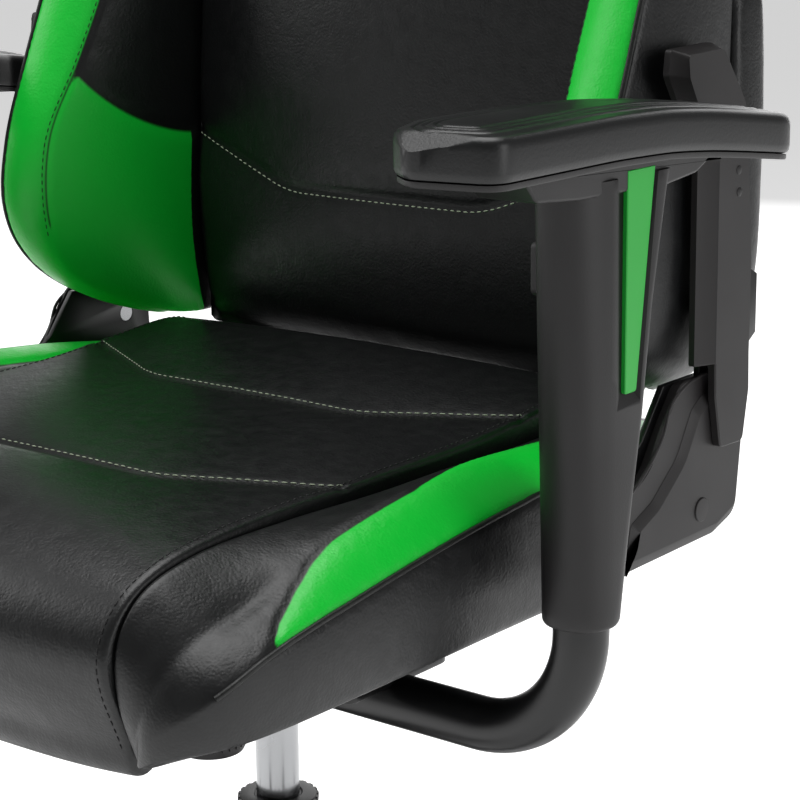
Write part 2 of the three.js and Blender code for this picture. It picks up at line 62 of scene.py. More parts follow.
def smoothLine(points, perSpan=8, closed=False):
    # a curve through all the points, with even handles so that tight spans do not overshoot
    p = np.asarray(points, float)
    if closed:
        p = np.vstack([p[-1], p, p[0], p[1]])
    else:
        p = np.vstack([2 * p[0] - p[1], p, 2 * p[-1] - p[-2]])
    out = []
    for i in range(1, len(p) - 2):
        p0, p1, p2, p3 = p[i - 1], p[i], p[i + 1], p[i + 2]
        d0, d1, d2 = (max(np.linalg.norm(b - a), 1e-6) ** 0.5 for a, b in ((p0, p1), (p1, p2), (p2, p3)))
        m1 = (p2 - p1) + d1 * ((p1 - p0) / d0 - (p2 - p0) / (d0 + d1))
        m2 = (p2 - p1) + d1 * ((p3 - p2) / d2 - (p3 - p1) / (d1 + d2))
        for k in range(perSpan):
            t = k / perSpan
            out.append((2 * t**3 - 3 * t**2 + 1) * p1 + (t**3 - 2 * t**2 + t) * m1
                       + (3 * t**2 - 2 * t**3) * p2 + (t**3 - t**2) * m2)
    if not closed:
        out.append(p[-2])
    return np.array(out)


def evenLine(points, step, closed=False):
    p = np.asarray(points, float)
    if closed:
        p = np.vstack([p, p[:1]])
    length = np.concatenate([[0], np.cumsum(np.linalg.norm(np.diff(p, axis=0), axis=1))])
    count = max(2, int(round(length[-1] / step)))
    at = np.linspace(0, length[-1], count + 1)
    if closed:
        at = at[:-1]
    return np.stack([np.interp(at, length, p[:, k]) for k in range(p.shape[1])], axis=1)


def roundOutline(corners, steps=6):
    # corners are (u, v, radius), and each one is turned into an arc
    out = []
    n = len(corners)
    for i, (u, v, r) in enumerate(corners):
        here = np.array([u, v], float)
        a = np.array(corners[i - 1][:2], float) - here
        b = np.array(corners[(i + 1) % n][:2], float) - here
        la, lb = np.linalg.norm(a), np.linalg.norm(b)
        a, b = a / la, b / lb
        half = math.acos(max(-1, min(1, float(a @ b)))) / 2
        if r <= 0 or half > 1.55:
            out.append(here)
            continue
        reach = min(r / math.tan(half), 0.48 * la, 0.48 * lb)
        start, end = here + a * reach, here + b * reach
        for k in range(steps + 1):
            t = k / steps
            out.append((1 - t)**2 * start + 2 * t * (1 - t) * here + t * t * end)
    return np.array(out)


def outlineNormals(outline):
    # unit normals that point out of a closed outline
    ahead = np.roll(outline, -1, axis=0) - np.roll(outline, 1, axis=0)
    normal = np.stack([ahead[:, 1], -ahead[:, 0]], axis=1)
    normal /= np.maximum(np.linalg.norm(normal, axis=1, keepdims=True), 1e-9)
    x, y = outline[:, 0], outline[:, 1]
    area = np.sum(x * np.roll(y, -1) - y * np.roll(x, -1))
    return normal if area > 0 else -normal


def bell(distance, width):
    return np.exp(-(np.asarray(distance) / width) ** 2)


def ramp(value, low, high):
    t = np.clip((np.asarray(value, float) - low) / (high - low), 0, 1)
    return t * t * (3 - 2 * t)


def recline(z):
    return 0.048 * (z - 608)            # the backrest leans back this much


# Meshes

def makePiece(name, points, faces, mirrored=False, smooth=True, sharp=None):
    p = np.array(points, float) / 1000
    if mirrored:
        p[:, 0] = -p[:, 0]
    p[:, 1] += axisY
    mesh = bpy.data.meshes.new(name)
    mesh.from_pydata([tuple(v) for v in p], [], faces)
    piece = bpy.data.objects.new(name, mesh)
    scene.collection.objects.link(piece)
    faceOut(piece, smooth, sharp)
    return piece


def faceOut(piece, smooth=True, sharp=None):
    edit = bmesh.new()
    edit.from_mesh(piece.data)
    bmesh.ops.remove_doubles(edit, verts=edit.verts, dist=1e-6)
    bmesh.ops.recalc_face_normals(edit, faces=edit.faces)
    for face in edit.faces:
        face.smooth = smooth
    edit.to_mesh(piece.data)
    edit.free()
    if sharp is not None:
        piece.data.set_sharp_from_angle(angle=math.radians(sharp))


def skin(rings, ends="fan"):
    # quads over a stack of closed rings, each end closed
    rings = [np.asarray(r, float) for r in rings]
    n = len(rings[0])
    if ends == "fan":
        for flip in (0, -1):
            rim = rings[flip]
            centre = rim.mean(axis=0)
            inner = [centre + (rim - centre) * s for s in (0.7, 0.4)]
            rings = inner[::-1] + rings if flip == 0 else rings + inner
    points = np.vstack(rings)
    faces = []
    for i in range(len(rings) - 1):
        for j in range(n):
            k = (j + 1) % n
            faces.append((i * n + j, i * n + k, (i + 1) * n + k, (i + 1) * n + j))
    last = (len(rings) - 1) * n
    if ends == "fan":
        points = np.vstack([points, rings[0].mean(axis=0), rings[-1].mean(axis=0)])
        low, high = len(points) - 2, len(points) - 1
        for j in range(n):
            k = (j + 1) % n
            faces.append((low, k, j))
            faces.append((high, last + j, last + k))
    else:
        faces.append(tuple(range(n))[::-1])
        faces.append(tuple(range(last, last + n)))
    return points, faces


def along(axis, level, outline):
    # an outline at one level of an axis: X takes (y, z), Y takes (x, z) and Z takes (x, y)
    u, v = outline[:, 0], outline[:, 1]
    flat = np.full(len(outline), float(level))
    return np.stack({"X": (flat, u, v), "Y": (u, flat, v), "Z": (u, v, flat)}[axis], axis=1)


def slab(name, outline, levels, axis="X", mirrored=False, sharp=32):
    # a plate built up in levels of (position, inset), so that its edges are rounded in real shape
    normal = outlineNormals(outline)
    rings = [along(axis, level, outline - normal * inset) for level, inset in levels]
    points, faces = skin(rings, ends="flat")
    return makePiece(name, points, faces, mirrored, sharp=sharp)


def softLevels(low, high, edge, steps=3):
    # levels of a plate with both rims rounded
    rim = [(edge * (1 - math.sin(math.pi / 2 * k / steps)), edge * (1 - math.cos(math.pi / 2 * k / steps)))
           for k in range(steps + 1)]
    return [(low + depth, inset) for depth, inset in reversed(rim)] + [(high - depth, inset) for depth,
                                                                       inset in rim]


def turnedPiece(name, profile, centre, sides=48, axis="Z", mirrored=False, sharp=35):
    # profile is (radius, height) from one end on the axis to the other
    rings = []
    for r, h in profile:
        turn = np.linspace(0, 2 * math.pi, sides, endpoint=False)
        a, b = max(r, 0.01) * np.cos(turn), max(r, 0.01) * np.sin(turn)
        flat = np.full(sides, float(h))
        ring = {"Z": (a, b, flat), "X": (flat, a, b), "Y": (b, flat, a)}[axis]
        rings.append(np.stack(ring, axis=1) + np.asarray(centre, float))
    points, faces = skin(rings, ends="flat")
    return makePiece(name, points, faces, mirrored, sharp=sharp)


def tubePiece(name, path, radius, sides=20, mirrored=False, closed=False):
    path = np.asarray(path, float)
    tangent = np.gradient(path, axis=0)
    if closed:
        tangent = np.roll(path, -1, axis=0) - np.roll(path, 1, axis=0)
    tangent /= np.linalg.norm(tangent, axis=1, keepdims=True)
    side = np.cross(tangent[0], (0, 1, 0))
    if np.linalg.norm(side) < 0.1:
        side = np.cross(tangent[0], (0, 0, 1))
    rings = []
    for p, t in zip(path, tangent):
        side = side - t * (side @ t)
        side /= np.linalg.norm(side)
        up = np.cross(t, side)
        turn = np.linspace(0, 2 * math.pi, sides, endpoint=False)[:, None]
        rings.append(p + radius * (np.cos(turn) * side + np.sin(turn) * up))
    points, faces = skin(rings, ends="flat")
    return makePiece(name, points, faces, mirrored, sharp=50)


def readPoints(piece):
    # vertex positions in millimetres from the gas lift's axis
    flat = np.empty(len(piece.data.vertices) * 3)
    piece.data.vertices.foreach_get("co", flat)
    p = flat.reshape(-1, 3) * 1000
    p[:, 1] -= axisY * 1000
    return p


def readNormals(piece):
    flat = np.empty(len(piece.data.vertices) * 3)
    piece.data.vertices.foreach_get("normal", flat)
    return flat.reshape(-1, 3)


def writePoints(piece, points):
    p = points / 1000
    p[:, 1] += axisY
    piece.data.vertices.foreach_set("co", p.ravel())
    piece.data.update()


def baked(piece):
    # the piece's modifiers become its mesh
    graph = bpy.context.evaluated_depsgraph_get()
    mesh = bpy.data.meshes.new_from_object(piece.evaluated_get(graph), preserve_all_data_layers=True,
                                           depsgraph=graph)
    old = piece.data
    piece.modifiers.clear()
    piece.data = mesh
    mesh.name = piece.name
    bpy.data.meshes.remove(old)
    return piece


def cut(piece, cutter):
    step = piece.modifiers.new("cut", "BOOLEAN")
    step.operation = "DIFFERENCE"
    step.solver = "EXACT"
    step.object = cutter
    baked(piece)
    mesh = cutter.data
    bpy.data.objects.remove(cutter)
    bpy.data.meshes.remove(mesh)
    return piece


def joined(name, *pieces):
    # one object from several closed shapes
    first = pieces[0]
    edit = bmesh.new()
    for piece in pieces:
        edit.from_mesh(piece.data)
    edit.to_mesh(first.data)
    edit.free()
    for piece in pieces[1:]:
        mesh = piece.data
        bpy.data.objects.remove(piece)
        bpy.data.meshes.remove(mesh)
    first.name = first.data.name = name
    return first


def evenMesh(piece, voxel, relax=3):
    # an even skin of small faces over a closed shape, ready to be padded or pressed
    step = piece.modifiers.new("skin", "REMESH")
    step.mode = "VOXEL"
    step.voxel_size = voxel / 1000
    step.use_smooth_shade = True
    if relax:
        smooth = piece.modifiers.new("relax", "SMOOTH")
        smooth.factor = 0.5
        smooth.iterations = relax
    return baked(piece)


def finer(piece):
    step = piece.modifiers.new("finer", "SUBSURF")
    step.levels = step.render_levels = 1
    return baked(piece)


def setValue(piece, name, values):
    # a measure in metres on every vertex, which the leather reads
    layer = piece.data.attributes.get(name) or piece.data.attributes.new(name, "FLOAT", "POINT")
    layer.data.foreach_set("value", np.asarray(values, np.float32) / 1000)


def puff(piece, held, limit, pressure=4.0):
    # the foam inside pushes the cover out between its seams
    before = readPoints(piece)
    group = piece.vertex_groups.new(name="sewn")
    for index in np.nonzero(held > 0.02)[0]:
        group.add([int(index)], float(min(1, held[index])), "REPLACE")
    step = piece.modifiers.new("padding", "CLOTH")
    cloth = step.settings
    cloth.vertex_group_mass = "sewn"
    cloth.quality = 5
    cloth.mass = 0.3
    cloth.tension_stiffness = cloth.compression_stiffness = 15
    cloth.bending_stiffness = 0.8
    cloth.use_pressure = True
    cloth.uniform_pressure_force = pressure
    cloth.effector_weights.gravity = 0
    step.point_cache.frame_start = 1
    step.point_cache.frame_end = 20
    for number in range(1, 21):
        scene.frame_set(number)
    graph = bpy.context.evaluated_depsgraph_get()
    shaped = piece.evaluated_get(graph).to_mesh()
    flat = np.empty(len(shaped.vertices) * 3)
    shaped.vertices.foreach_get("co", flat)
    piece.evaluated_get(graph).to_mesh_clear()
    after = flat.reshape(-1, 3) * 1000
    after[:, 1] -= axisY * 1000
    piece.modifiers.remove(step)
    piece.vertex_groups.clear()
    scene.frame_set(1)
    move = after - before
    length = np.linalg.norm(move, axis=1, keepdims=True)
    move *= limit * np.tanh(length / limit) / np.maximum(length, 1e-9)
    writePoints(piece, before + move)


def pressSeams(piece, gap, depth=1.5, width=2.6, pucker=0.25):
    # the seams sink in, with small puckers beside them
    p, normal = readPoints(piece), readNormals(piece)
    gathers = np.sin(p @ np.array([0.9, 0.7, 0.8])) * np.sin(p @ np.array([0.31, -0.42, 0.27]) + 1)
    drop = depth * bell(gap, width) + pucker * gathers * bell(np.abs(gap) - 5, 5)
    writePoints(piece, p - normal * drop[:, None])


def standFor(piece, *nodes, material=None, fill=None):
    # the piece takes the place of these CAD nodes on the same body
    if material:
        piece.data.materials.clear()
        piece.data.materials.append(material)
    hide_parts(*nodes)
    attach(piece, bodyOf[nodes[0]])
    return piece


def addDetail(piece, body, material=None):
    if material:
        piece.data.materials.clear()
        piece.data.materials.append(material)
    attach(piece, body)
    return piece


def softened(node, edge, material, angle=28):
    # a copy of the CAD node with its facets merged and its edges broken
    mesh = frame["nodes"][node].data.copy()
    mesh.name = node + "_finish"
    mesh.materials.clear()
    piece = bpy.data.objects.new(node + "_finish", mesh)
    scene.collection.objects.link(piece)
    edit = bmesh.new()
    edit.from_mesh(mesh)
    bmesh.ops.remove_doubles(edit, verts=edit.verts, dist=2e-6)
    bmesh.ops.dissolve_limit(edit, angle_limit=math.radians(1.5), verts=edit.verts, edges=edit.edges)
    for face in edit.faces:
        face.smooth = True
    edit.to_mesh(mesh)
    edit.free()
    bevel = piece.modifiers.new("edge", "BEVEL")
    bevel.width = edge / 1000
    bevel.segments = 3
    bevel.limit_method = "ANGLE"
    bevel.angle_limit = math.radians(angle)
    bevel.harden_normals = True
    return standFor(piece, node, material=material)


# Nodes

def hexColour(text):
    # an sRGB hex value as linear RGBA
    parts = [int(text[i:i + 2], 16) / 255 for i in (1, 3, 5)]
    return tuple(c / 12.92 if c <= 0.04045 else ((c + 0.055) / 1.055) ** 2.4 for c in parts) + (1.0,)


def addNode(tree, kind, links=None, **settings):
    # settings are the node's own, links fill its sockets with a value or another socket
    node = tree.nodes.new(kind)
    for key, value in settings.items():
        setattr(node, key, value)
    for socket, value in (links or {}).items():
        if isinstance(value, bpy.types.NodeSocket):
            tree.links.new(value, node.inputs[socket])
        else:
            node.inputs[socket].default_value = value
    return node


def newMaterial(name, colour):
    material = bpy.data.materials.new(name)
    material.use_nodes = True
    material.diffuse_color = hexColour(colour)
    tree = material.node_tree
    tree.nodes.clear()
    shader = addNode(tree, "ShaderNodeBsdfPrincipled")
    addNode(tree, "ShaderNodeOutputMaterial", {"Surface": shader.outputs[0]})
    place = addNode(tree, "ShaderNodeTexCoord").outputs["Object"]
    return material, tree, shader, place


leatherGrain = {"pebble": 1.5, "crease": 9.0, "shade": 70.0}     # millimetres across


def coatedLeather(name, colour, second=None, rough=0.4, sheen=0.0):
    # PU coated leather, embossed with a fine pebble: a soft gloss that breaks up over the grain.
    # Where the cover has two colours, "trim" is how far a point lies inside the second one.
    material, tree, shader, place = newMaterial(name, colour)
    pebble = addNode(tree, "ShaderNodeTexVoronoi", {"Vector": place, "Scale": 1000 / leatherGrain["pebble"]},
                     feature="SMOOTH_F1")
    crease = addNode(tree, "ShaderNodeTexNoise",
                     {"Vector": place, "Scale": 1000 / leatherGrain["crease"], "Detail": 3.0,
                      "Roughness": 0.6})
    shade = addNode(tree, "ShaderNodeTexNoise",
                    {"Vector": place, "Scale": 1000 / leatherGrain["shade"], "Detail": 2.0})
    gap = addNode(tree, "ShaderNodeAttribute", attribute_name="trim")
    # painted shade: within about a millimetre of each seam, where trim is near zero, the colour is darkened
    # towards near black (0.002, 0.003, 0.002), standing in for the shade in the seam's crease
    near = addNode(tree, "ShaderNodeMath", {0: gap.outputs["Fac"]}, operation="ABSOLUTE")
    seamShadeMask = addNode(tree, "ShaderNodeMapRange",
                   {"Value": near.outputs[0], "From Min": 0.0002, "From Max": 0.0012,
                                                "To Min": 0.25, "To Max": 1.0})
    base = addNode(tree, "ShaderNodeMix", {"Factor": shade.outputs["Fac"], "A": hexColour(colour),
                                           "B": tuple(0.86 * c for c in hexColour(colour)[:3]) + (1,)},
                   data_type="RGBA")
    base = pickColour(base)
    if second:
        inside = addNode(tree, "ShaderNodeMapRange", {"Value": gap.outputs["Fac"], "From Min": -0.0002,
                                                      "From Max": 0.0002})
        bright = addNode(tree, "ShaderNodeMix",
                         {"Factor": shade.outputs["Fac"], "A": hexColour(second),
                          "B": tuple(0.9 * c for c in hexColour(second)[:3]) + (1,)}, data_type="RGBA")
        base = pickColour(addNode(tree, "ShaderNodeMix", {"Factor": inside.outputs[0], "A": base,
                                                          "B": pickColour(bright)}, data_type="RGBA"))
    seamShadedColour = addNode(tree, "ShaderNodeMix",
                   {"Factor": seamShadeMask.outputs[0], "A": (0.002, 0.003, 0.002, 1), "B": base},
                   data_type="RGBA")
    tree.links.new(pickColour(seamShadedColour), shader.inputs["Base Color"])
    gloss = addNode(tree, "ShaderNodeMapRange",
                    {"Value": crease.outputs["Fac"], "From Min": 0.3, "From Max": 0.7,
                                                 "To Min": rough - 0.04, "To Max": rough + 0.06})
    tree.links.new(gloss.outputs[0], shader.inputs["Roughness"])
    soft = addNode(tree, "ShaderNodeBump",
                   {"Strength": 0.22, "Distance": 0.0012, "Height": crease.outputs["Fac"]})
    fine = addNode(tree, "ShaderNodeBump",
                   {"Strength": 0.5, "Distance": 0.00022, "Height": pebble.outputs["Distance"],
                                            "Normal": soft.outputs[0]})
    tree.links.new(fine.outputs[0], shader.inputs["Normal"])
    shader.inputs["IOR"].default_value = 1.48
    shader.inputs["Sheen Weight"].default_value = sheen
    return material


def pickColour(mix):
    # the colour socket of a Mix node, whose other sockets share its name
    return next(s for s in mix.outputs if s.type == "RGBA" and s.enabled)


def hardFinish(name, colour, rough, grain=1.2, bump=0.25, depth=0.00012, metallic=0.0, ior=1.5, coat=0.0,
               wear=0.08,
               brushed=None):
    # a moulded, painted or plated surface: its grain in millimetres, with slow changes in shade and gloss
    material, tree, shader, place = newMaterial(name, colour)
    if brushed:
        place = addNode(tree, "ShaderNodeMapping", {"Vector": place, "Scale": brushed}).outputs[0]
    texture = addNode(tree, "ShaderNodeTexNoise", {"Vector": place, "Scale": 1000 / grain, "Detail": 2.0})
    slow = addNode(tree, "ShaderNodeTexNoise", {"Vector": place, "Scale": 18.0, "Detail": 2.0})
    tone = addNode(tree, "ShaderNodeMix", {"Factor": slow.outputs["Fac"], "A": hexColour(colour),
                                           "B": tuple((1 - wear) * c for c in hexColour(colour)[:3]) + (1,)},
                   data_type="RGBA")
    tree.links.new(pickColour(tone), shader.inputs["Base Color"])
    gloss = addNode(tree, "ShaderNodeMapRange",
                    {"Value": slow.outputs["Fac"], "From Min": 0.3, "From Max": 0.7,
                                                 "To Min": max(0.03, rough - 0.03), "To Max": rough + 0.04})
    tree.links.new(gloss.outputs[0], shader.inputs["Roughness"])
    relief = addNode(tree, "ShaderNodeBump",
                     {"Strength": bump, "Distance": depth, "Height": texture.outputs["Fac"]})
    tree.links.new(relief.outputs[0], shader.inputs["Normal"])
    shader.inputs["Metallic"].default_value = metallic
    shader.inputs["IOR"].default_value = ior
    shader.inputs["Coat Weight"].default_value = coat
    shader.inputs["Coat Roughness"].default_value = 0.2
    return material


greenShade, blackShade = "#08d63a", "#0e0f10"
blackLeather = coatedLeather("black PU leather", blackShade, rough=0.36)
greenLeather = coatedLeather("black and green PU leather", blackShade, greenShade, rough=0.38)
pipingLeather = coatedLeather("PU leather piping", "#0c0d0e", rough=0.45)
# glass-filled nylon, moulded: an even satin black
satinNylon = hardFinish("moulded nylon", "#101012", 0.42, grain=1.0)
# ABS with a spark-eroded texture: matt, slightly warm black
texturedAbs = hardFinish("textured ABS", "#131112", 0.46, grain=0.9, bump=0.4, depth=0.00014)
# the recliner covers are ABS with a light mist texture, which looks greyer
mistAbs = hardFinish("mist textured ABS", "#1a1718", 0.46, grain=0.8, bump=0.4, depth=0.00012)
# polyurethane integral skin foam, moulded on a grained tool: a waxy sheen
skinFoam = hardFinish("integral skin foam", "#0c0d0e", 0.36, grain=1.6, bump=0.5, depth=0.0002)
# polished ABS insert in the arms
greenAbs = hardFinish("green ABS", "#22b53c", 0.3, grain=2.0, bump=0.05)
# powder coat: a glossy black with a slight orange peel
powderCoat = hardFinish("black powder coat", "#0f0f10", 0.3, grain=2.2, bump=0.2, depth=0.0001)
# hard chrome, ground along its length
chrome = hardFinish("hard chrome", "#aaabad", 0.24, grain=3.0, bump=0.05, metallic=1.0, wear=0.03)
casterPu = hardFinish("cast PU tread", "#232325", 0.5, grain=1.4, bump=0.3)
sheetPaint = hardFinish("painted steel sheet", "#161617", 0.5, grain=1.5)
# polyester sewing thread, twisted: matt, and pale against the cover
paleThread = hardFinish("pale polyester thread", "#a9b59c", 0.7, grain=0.5, bump=0.6)
darkThread = hardFinish("black polyester thread", "#0c0c0d", 0.6, grain=0.5, bump=0.6)
greenThread = hardFinish("green polyester thread", "#086b22", 0.65, grain=0.5, bump=0.6)
print("finishes ready")


# Geometry Nodes: threads and piping along a path, and lugs round a circle

def newTree(name, sockets):
    tree = bpy.data.node_groups.new(name, "GeometryNodeTree")
    tree.interface.new_socket("Geometry", in_out="INPUT", socket_type="NodeSocketGeometry")
    names = {}
    for label, kind, value in sockets:
        socket = tree.interface.new_socket(label, in_out="INPUT", socket_type=kind)
        if value is not None:
            socket.default_value = value
        names[label] = socket.identifier
    tree.interface.new_socket("Geometry", in_out="OUTPUT", socket_type="NodeSocketGeometry")
    return tree, names, addNode(tree, "NodeGroupInput")


def threadTree():
    tree, names, given = newTree("sewn thread", [
        ("Pitch", "NodeSocketFloat", 0.005), ("Stitch", "NodeSocketFloat", 0.0036),
        ("Thickness", "NodeSocketFloat", 0.0009), ("Finish", "NodeSocketMaterial", None)])
    path = addNode(tree, "GeometryNodeMeshToCurve", {"Mesh": given.outputs["Geometry"]})
    spaced = addNode(tree, "GeometryNodeResampleCurve",
                     {"Curve": path.outputs[0], "Length": given.outputs["Pitch"]},
                     mode="LENGTH")
    bead = addNode(tree, "GeometryNodeMeshUVSphere", {"Segments": 6, "Rings": 5, "Radius": 0.5})
    heading = addNode(tree, "FunctionNodeAlignRotationToVector",
                      {"Vector": addNode(tree, "GeometryNodeInputTangent").outputs[0]}, axis="X")
    size = addNode(tree, "ShaderNodeCombineXYZ",
                   {"X": given.outputs["Stitch"], "Y": given.outputs["Thickness"],
                                                  "Z": given.outputs["Thickness"]})
    beads = addNode(tree, "GeometryNodeInstanceOnPoints",
                    {"Points": spaced.outputs[0], "Instance": bead.outputs[0], "Rotation": heading.outputs[0],
                     "Scale": size.outputs[0]})
    real = addNode(tree, "GeometryNodeRealizeInstances", {"Geometry": beads.outputs[0]})
    dyed = addNode(tree, "GeometryNodeSetMaterial", {"Geometry": real.outputs[0],
                                                     "Material": given.outputs["Finish"]})
    addNode(tree, "NodeGroupOutput", {"Geometry": dyed.outputs[0]})
    return tree, names


def pipingTree():
    tree, names, given = newTree("piping", [("Radius", "NodeSocketFloat", 0.002),
                                            ("Finish", "NodeSocketMaterial", None)])
    path = addNode(tree, "GeometryNodeMeshToCurve", {"Mesh": given.outputs["Geometry"]})
    spaced = addNode(tree, "GeometryNodeResampleCurve", {"Curve": path.outputs[0], "Length": 0.005},
                     mode="LENGTH")
    round8 = addNode(tree, "GeometryNodeCurvePrimitiveCircle",
                     {"Resolution": 8, "Radius": given.outputs["Radius"]})
    tube = addNode(tree, "GeometryNodeCurveToMesh", {"Curve": spaced.outputs[0],
                                                     "Profile Curve": round8.outputs[0], "Fill Caps": True})
    real = addNode(tree, "GeometryNodeRealizeInstances", {"Geometry": tube.outputs[0]})
    dyed = addNode(tree, "GeometryNodeSetMaterial", {"Geometry": real.outputs[0],
                                                     "Material": given.outputs["Finish"]})
    addNode(tree, "NodeGroupOutput", {"Geometry": dyed.outputs[0]})
    return tree, names


def lugTree():
    tree, names, given = newTree("lugs round a circle", [
        ("Count", "NodeSocketInt", 8), ("Circle", "NodeSocketFloat", 0.02),
        ("Size", "NodeSocketVector", None),
        ("Centre", "NodeSocketVector", None), ("Finish", "NodeSocketMaterial", None)])
    ring = addNode(tree, "GeometryNodeMeshCircle", {"Vertices": given.outputs["Count"],
                                                    "Radius": given.outputs["Circle"]})
    out = addNode(tree, "FunctionNodeAlignRotationToVector",
                  {"Vector": addNode(tree, "GeometryNodeInputPosition").outputs[0]}, axis="X")
    lug = addNode(tree, "GeometryNodeMeshCube", {"Size": given.outputs["Size"]})
    lugs = addNode(tree, "GeometryNodeInstanceOnPoints",
                   {"Points": ring.outputs[0], "Instance": lug.outputs[0],
                                                          "Rotation": out.outputs[0]})
    real = addNode(tree, "GeometryNodeRealizeInstances", {"Geometry": lugs.outputs[0]})
    moved = addNode(tree, "GeometryNodeTransform", {"Geometry": real.outputs[0],
                                                    "Translation": given.outputs["Centre"]})
    dyed = addNode(tree, "GeometryNodeSetMaterial", {"Geometry": moved.outputs[0],
                                                     "Material": given.outputs["Finish"]})
    addNode(tree, "NodeGroupOutput", {"Geometry": dyed.outputs[0]})
    return tree, names


trees = {"thread": threadTree(), "piping": pipingTree(), "lugs": lugTree()}


def grow(kind, name, paths, smooth=True, **values):
    # runs one of the trees on some paths in millimetres, and keeps the result as a plain mesh
    tree, names = trees[kind]
    points, edges = [], []
    for path in paths:
        first = len(points)
        points += [(x / 1000, axisY + y / 1000, z / 1000) for x, y, z in path]
        edges += [(first + i, first + i + 1) for i in range(len(path) - 1)]
    mesh = bpy.data.meshes.new(name)
    mesh.from_pydata(points, edges, [])
    piece = bpy.data.objects.new(name, mesh)
    scene.collection.objects.link(piece)
    step = piece.modifiers.new(name, "NODES")
    step.node_group = tree
    for label, value in values.items():
        step[names[label]] = value
    baked(piece)
    for face in piece.data.polygons:
        face.use_smooth = smooth
    return piece


def surfaceOf(piece):
    edit = bmesh.new()
    edit.from_mesh(piece.data)
    tree = BVHTree.FromBMesh(edit)
    edit.free()
    return tree


def layOn(tree, path, towards, lift=0.2):
    # drops a path, in millimetres, on a surface along one direction
    out = []
    way = Vector(towards).normalized()
    for x, y, z in path:
        start = Vector((x / 1000, axisY + y / 1000, z / 1000)) - way * 0.08
        spot, normal, _, _ = tree.ray_cast(start, way, 0.25)
        if spot is None:
            continue
        spot = spot + normal * lift / 1000
        out.append((spot.x * 1000, (spot.y - axisY) * 1000, spot.z * 1000))
    return out


def settle(tree, path, lift=0.2):
    # moves a path on to the nearest surface
    out = []
    for x, y, z in path:
        spot, normal, _, _ = tree.find_nearest(Vector((x / 1000, axisY + y / 1000, z / 1000)))
        spot = spot + normal * lift / 1000
        out.append((spot.x * 1000, (spot.y - axisY) * 1000, spot.z * 1000))
    return out


# Camera, light and floor

studio = {
    "eye": (0.92576, -1.04279, 0.88421), "turn": 38.26, "down": 13.86, "roll": -0.5, "lens": 103.85,
    "world": 0.2, "floor": 16.0,
}


def setCamera():
    turn, down, roll = (math.radians(studio[k]) for k in ("turn", "down", "roll"))
    ahead = Vector((-math.sin(turn) * math.cos(down), math.cos(turn) * math.cos(down), -math.sin(down)))
    right = Vector((math.cos(turn), math.sin(turn), 0))
    up = right.cross(ahead)
    right, up = (right * math.cos(roll) + up * math.sin(roll), up * math.cos(roll) - right * math.sin(roll))
    lens = bpy.data.cameras.new("camera")
    lens.sensor_width = 36
    lens.lens = studio["lens"]
    lens.clip_end = 60
    camera = bpy.data.objects.new("camera", lens)
    x, y, z = studio["eye"]
    camera.matrix_world = Matrix((
        (right.x, up.x, -ahead.x, x), (right.y, up.y, -ahead.y, y + axisY), (right.z, up.z, -ahead.z, z),
        (0, 0, 0, 1)))
    scene.collection.objects.link(camera)
    scene.camera = camera


def addSoftbox(name, place, aim, width, height, power):
    light = bpy.data.lights.new(name, "AREA")
    light.shape = "RECTANGLE"
    light.size, light.size_y = width, height
    light.energy = power
    box = bpy.data.objects.new(name, light)
    box.location = place
    box.rotation_euler = (Vector(aim) - Vector(place)).to_track_quat("-Z", "Y").to_euler()
    box.visible_camera = False
    scene.collection.objects.link(box)


def setStudio():
    addSoftbox("overhead softbox", (-0.2, 0.1, 3.0), (0, 0, 0.5), 2.2, 2.2, 62)
    addSoftbox("left softbox", (-2.6, -1.2, 2.0), (0, 0, 0.6), 1.6, 2.0, 24)
    addSoftbox("right softbox", (2.8, 0.4, 1.2), (0.2, 0, 0.6), 1.2, 1.8, 16)
    addSoftbox("back wall", (-1.6, 3.6, 1.6), (0, 0, 0.5), 3.6, 2.6, 60)
    world = bpy.data.worlds.new("studio")
    scene.world = world
    world.use_nodes = True
    tree = world.node_tree
    tree.nodes.clear()
    seen = addNode(tree, "ShaderNodeLightPath").outputs["Is Camera Ray"]
    level = addNode(tree, "ShaderNodeMapRange", {"Value": seen, "To Min": studio["world"], "To Max": 1.0})
    wash = addNode(tree, "ShaderNodeBackground", {"Color": (1, 1, 1, 1), "Strength": level.outputs[0]})
    addNode(tree, "ShaderNodeOutputWorld", {"Surface": wash.outputs[0]})
    size = studio["floor"] * 1000
    floor = makePiece("studio_floor", [(-size, -size, -0.5), (size, -size, -0.5), (size, size, -0.5),
                                       (-size, size, -0.5)],
                      [(0, 1, 2, 3)])
    material, tree, shader, place = newMaterial("pale paper", "#f6f6f6")
    shade = addNode(tree, "ShaderNodeTexNoise", {"Vector": place, "Scale": 3.0})
    tone = addNode(tree, "ShaderNodeMix", {"Factor": shade.outputs["Fac"], "A": hexColour("#fafafa"),
                                           "B": hexColour("#f6f6f6")}, data_type="RGBA")
    tree.links.new(pickColour(tone), shader.inputs["Base Color"])
    shader.inputs["Roughness"].default_value = 0.9
    shader.inputs["Emission Color"].default_value = (1, 1, 1, 1)
    shader.inputs["Emission Strength"].default_value = 0.45
    floor.data.materials.append(material)
    scene.view_settings.view_transform = "Standard"


setCamera()
setStudio()
print("studio ready")


# Seat: the middle pad

seatPad = {
    "half": 177, "edge": 4, "crown": 4, "bow": 8, "step": 5.5,
    # the pad seen from the side, as (y, z)
    "side": [(114, 550), (99, 556.5), (40, 554), (-20, 549), (-100, 548), (-190, 548), (-240, 546),
             (-275, 541.5),
             (-300, 532), (-315, 518), (-321, 503), (-319, 487), (-312, 470), (-306, 455), (-303, 441),
             (-296, 436),
             (-286, 440), (-280, 453), (-200, 455), (100, 455), (114, 459), (117, 480), (117, 530)],
    # seams across the top, as (x, y) for one half
    "frontSeam": [(0, -189.5), (83.5, -189.5), (177, -138)],
    "rearSeam": [(0, -22.8), (83.5, -22.8), (177, 26.4)],
}


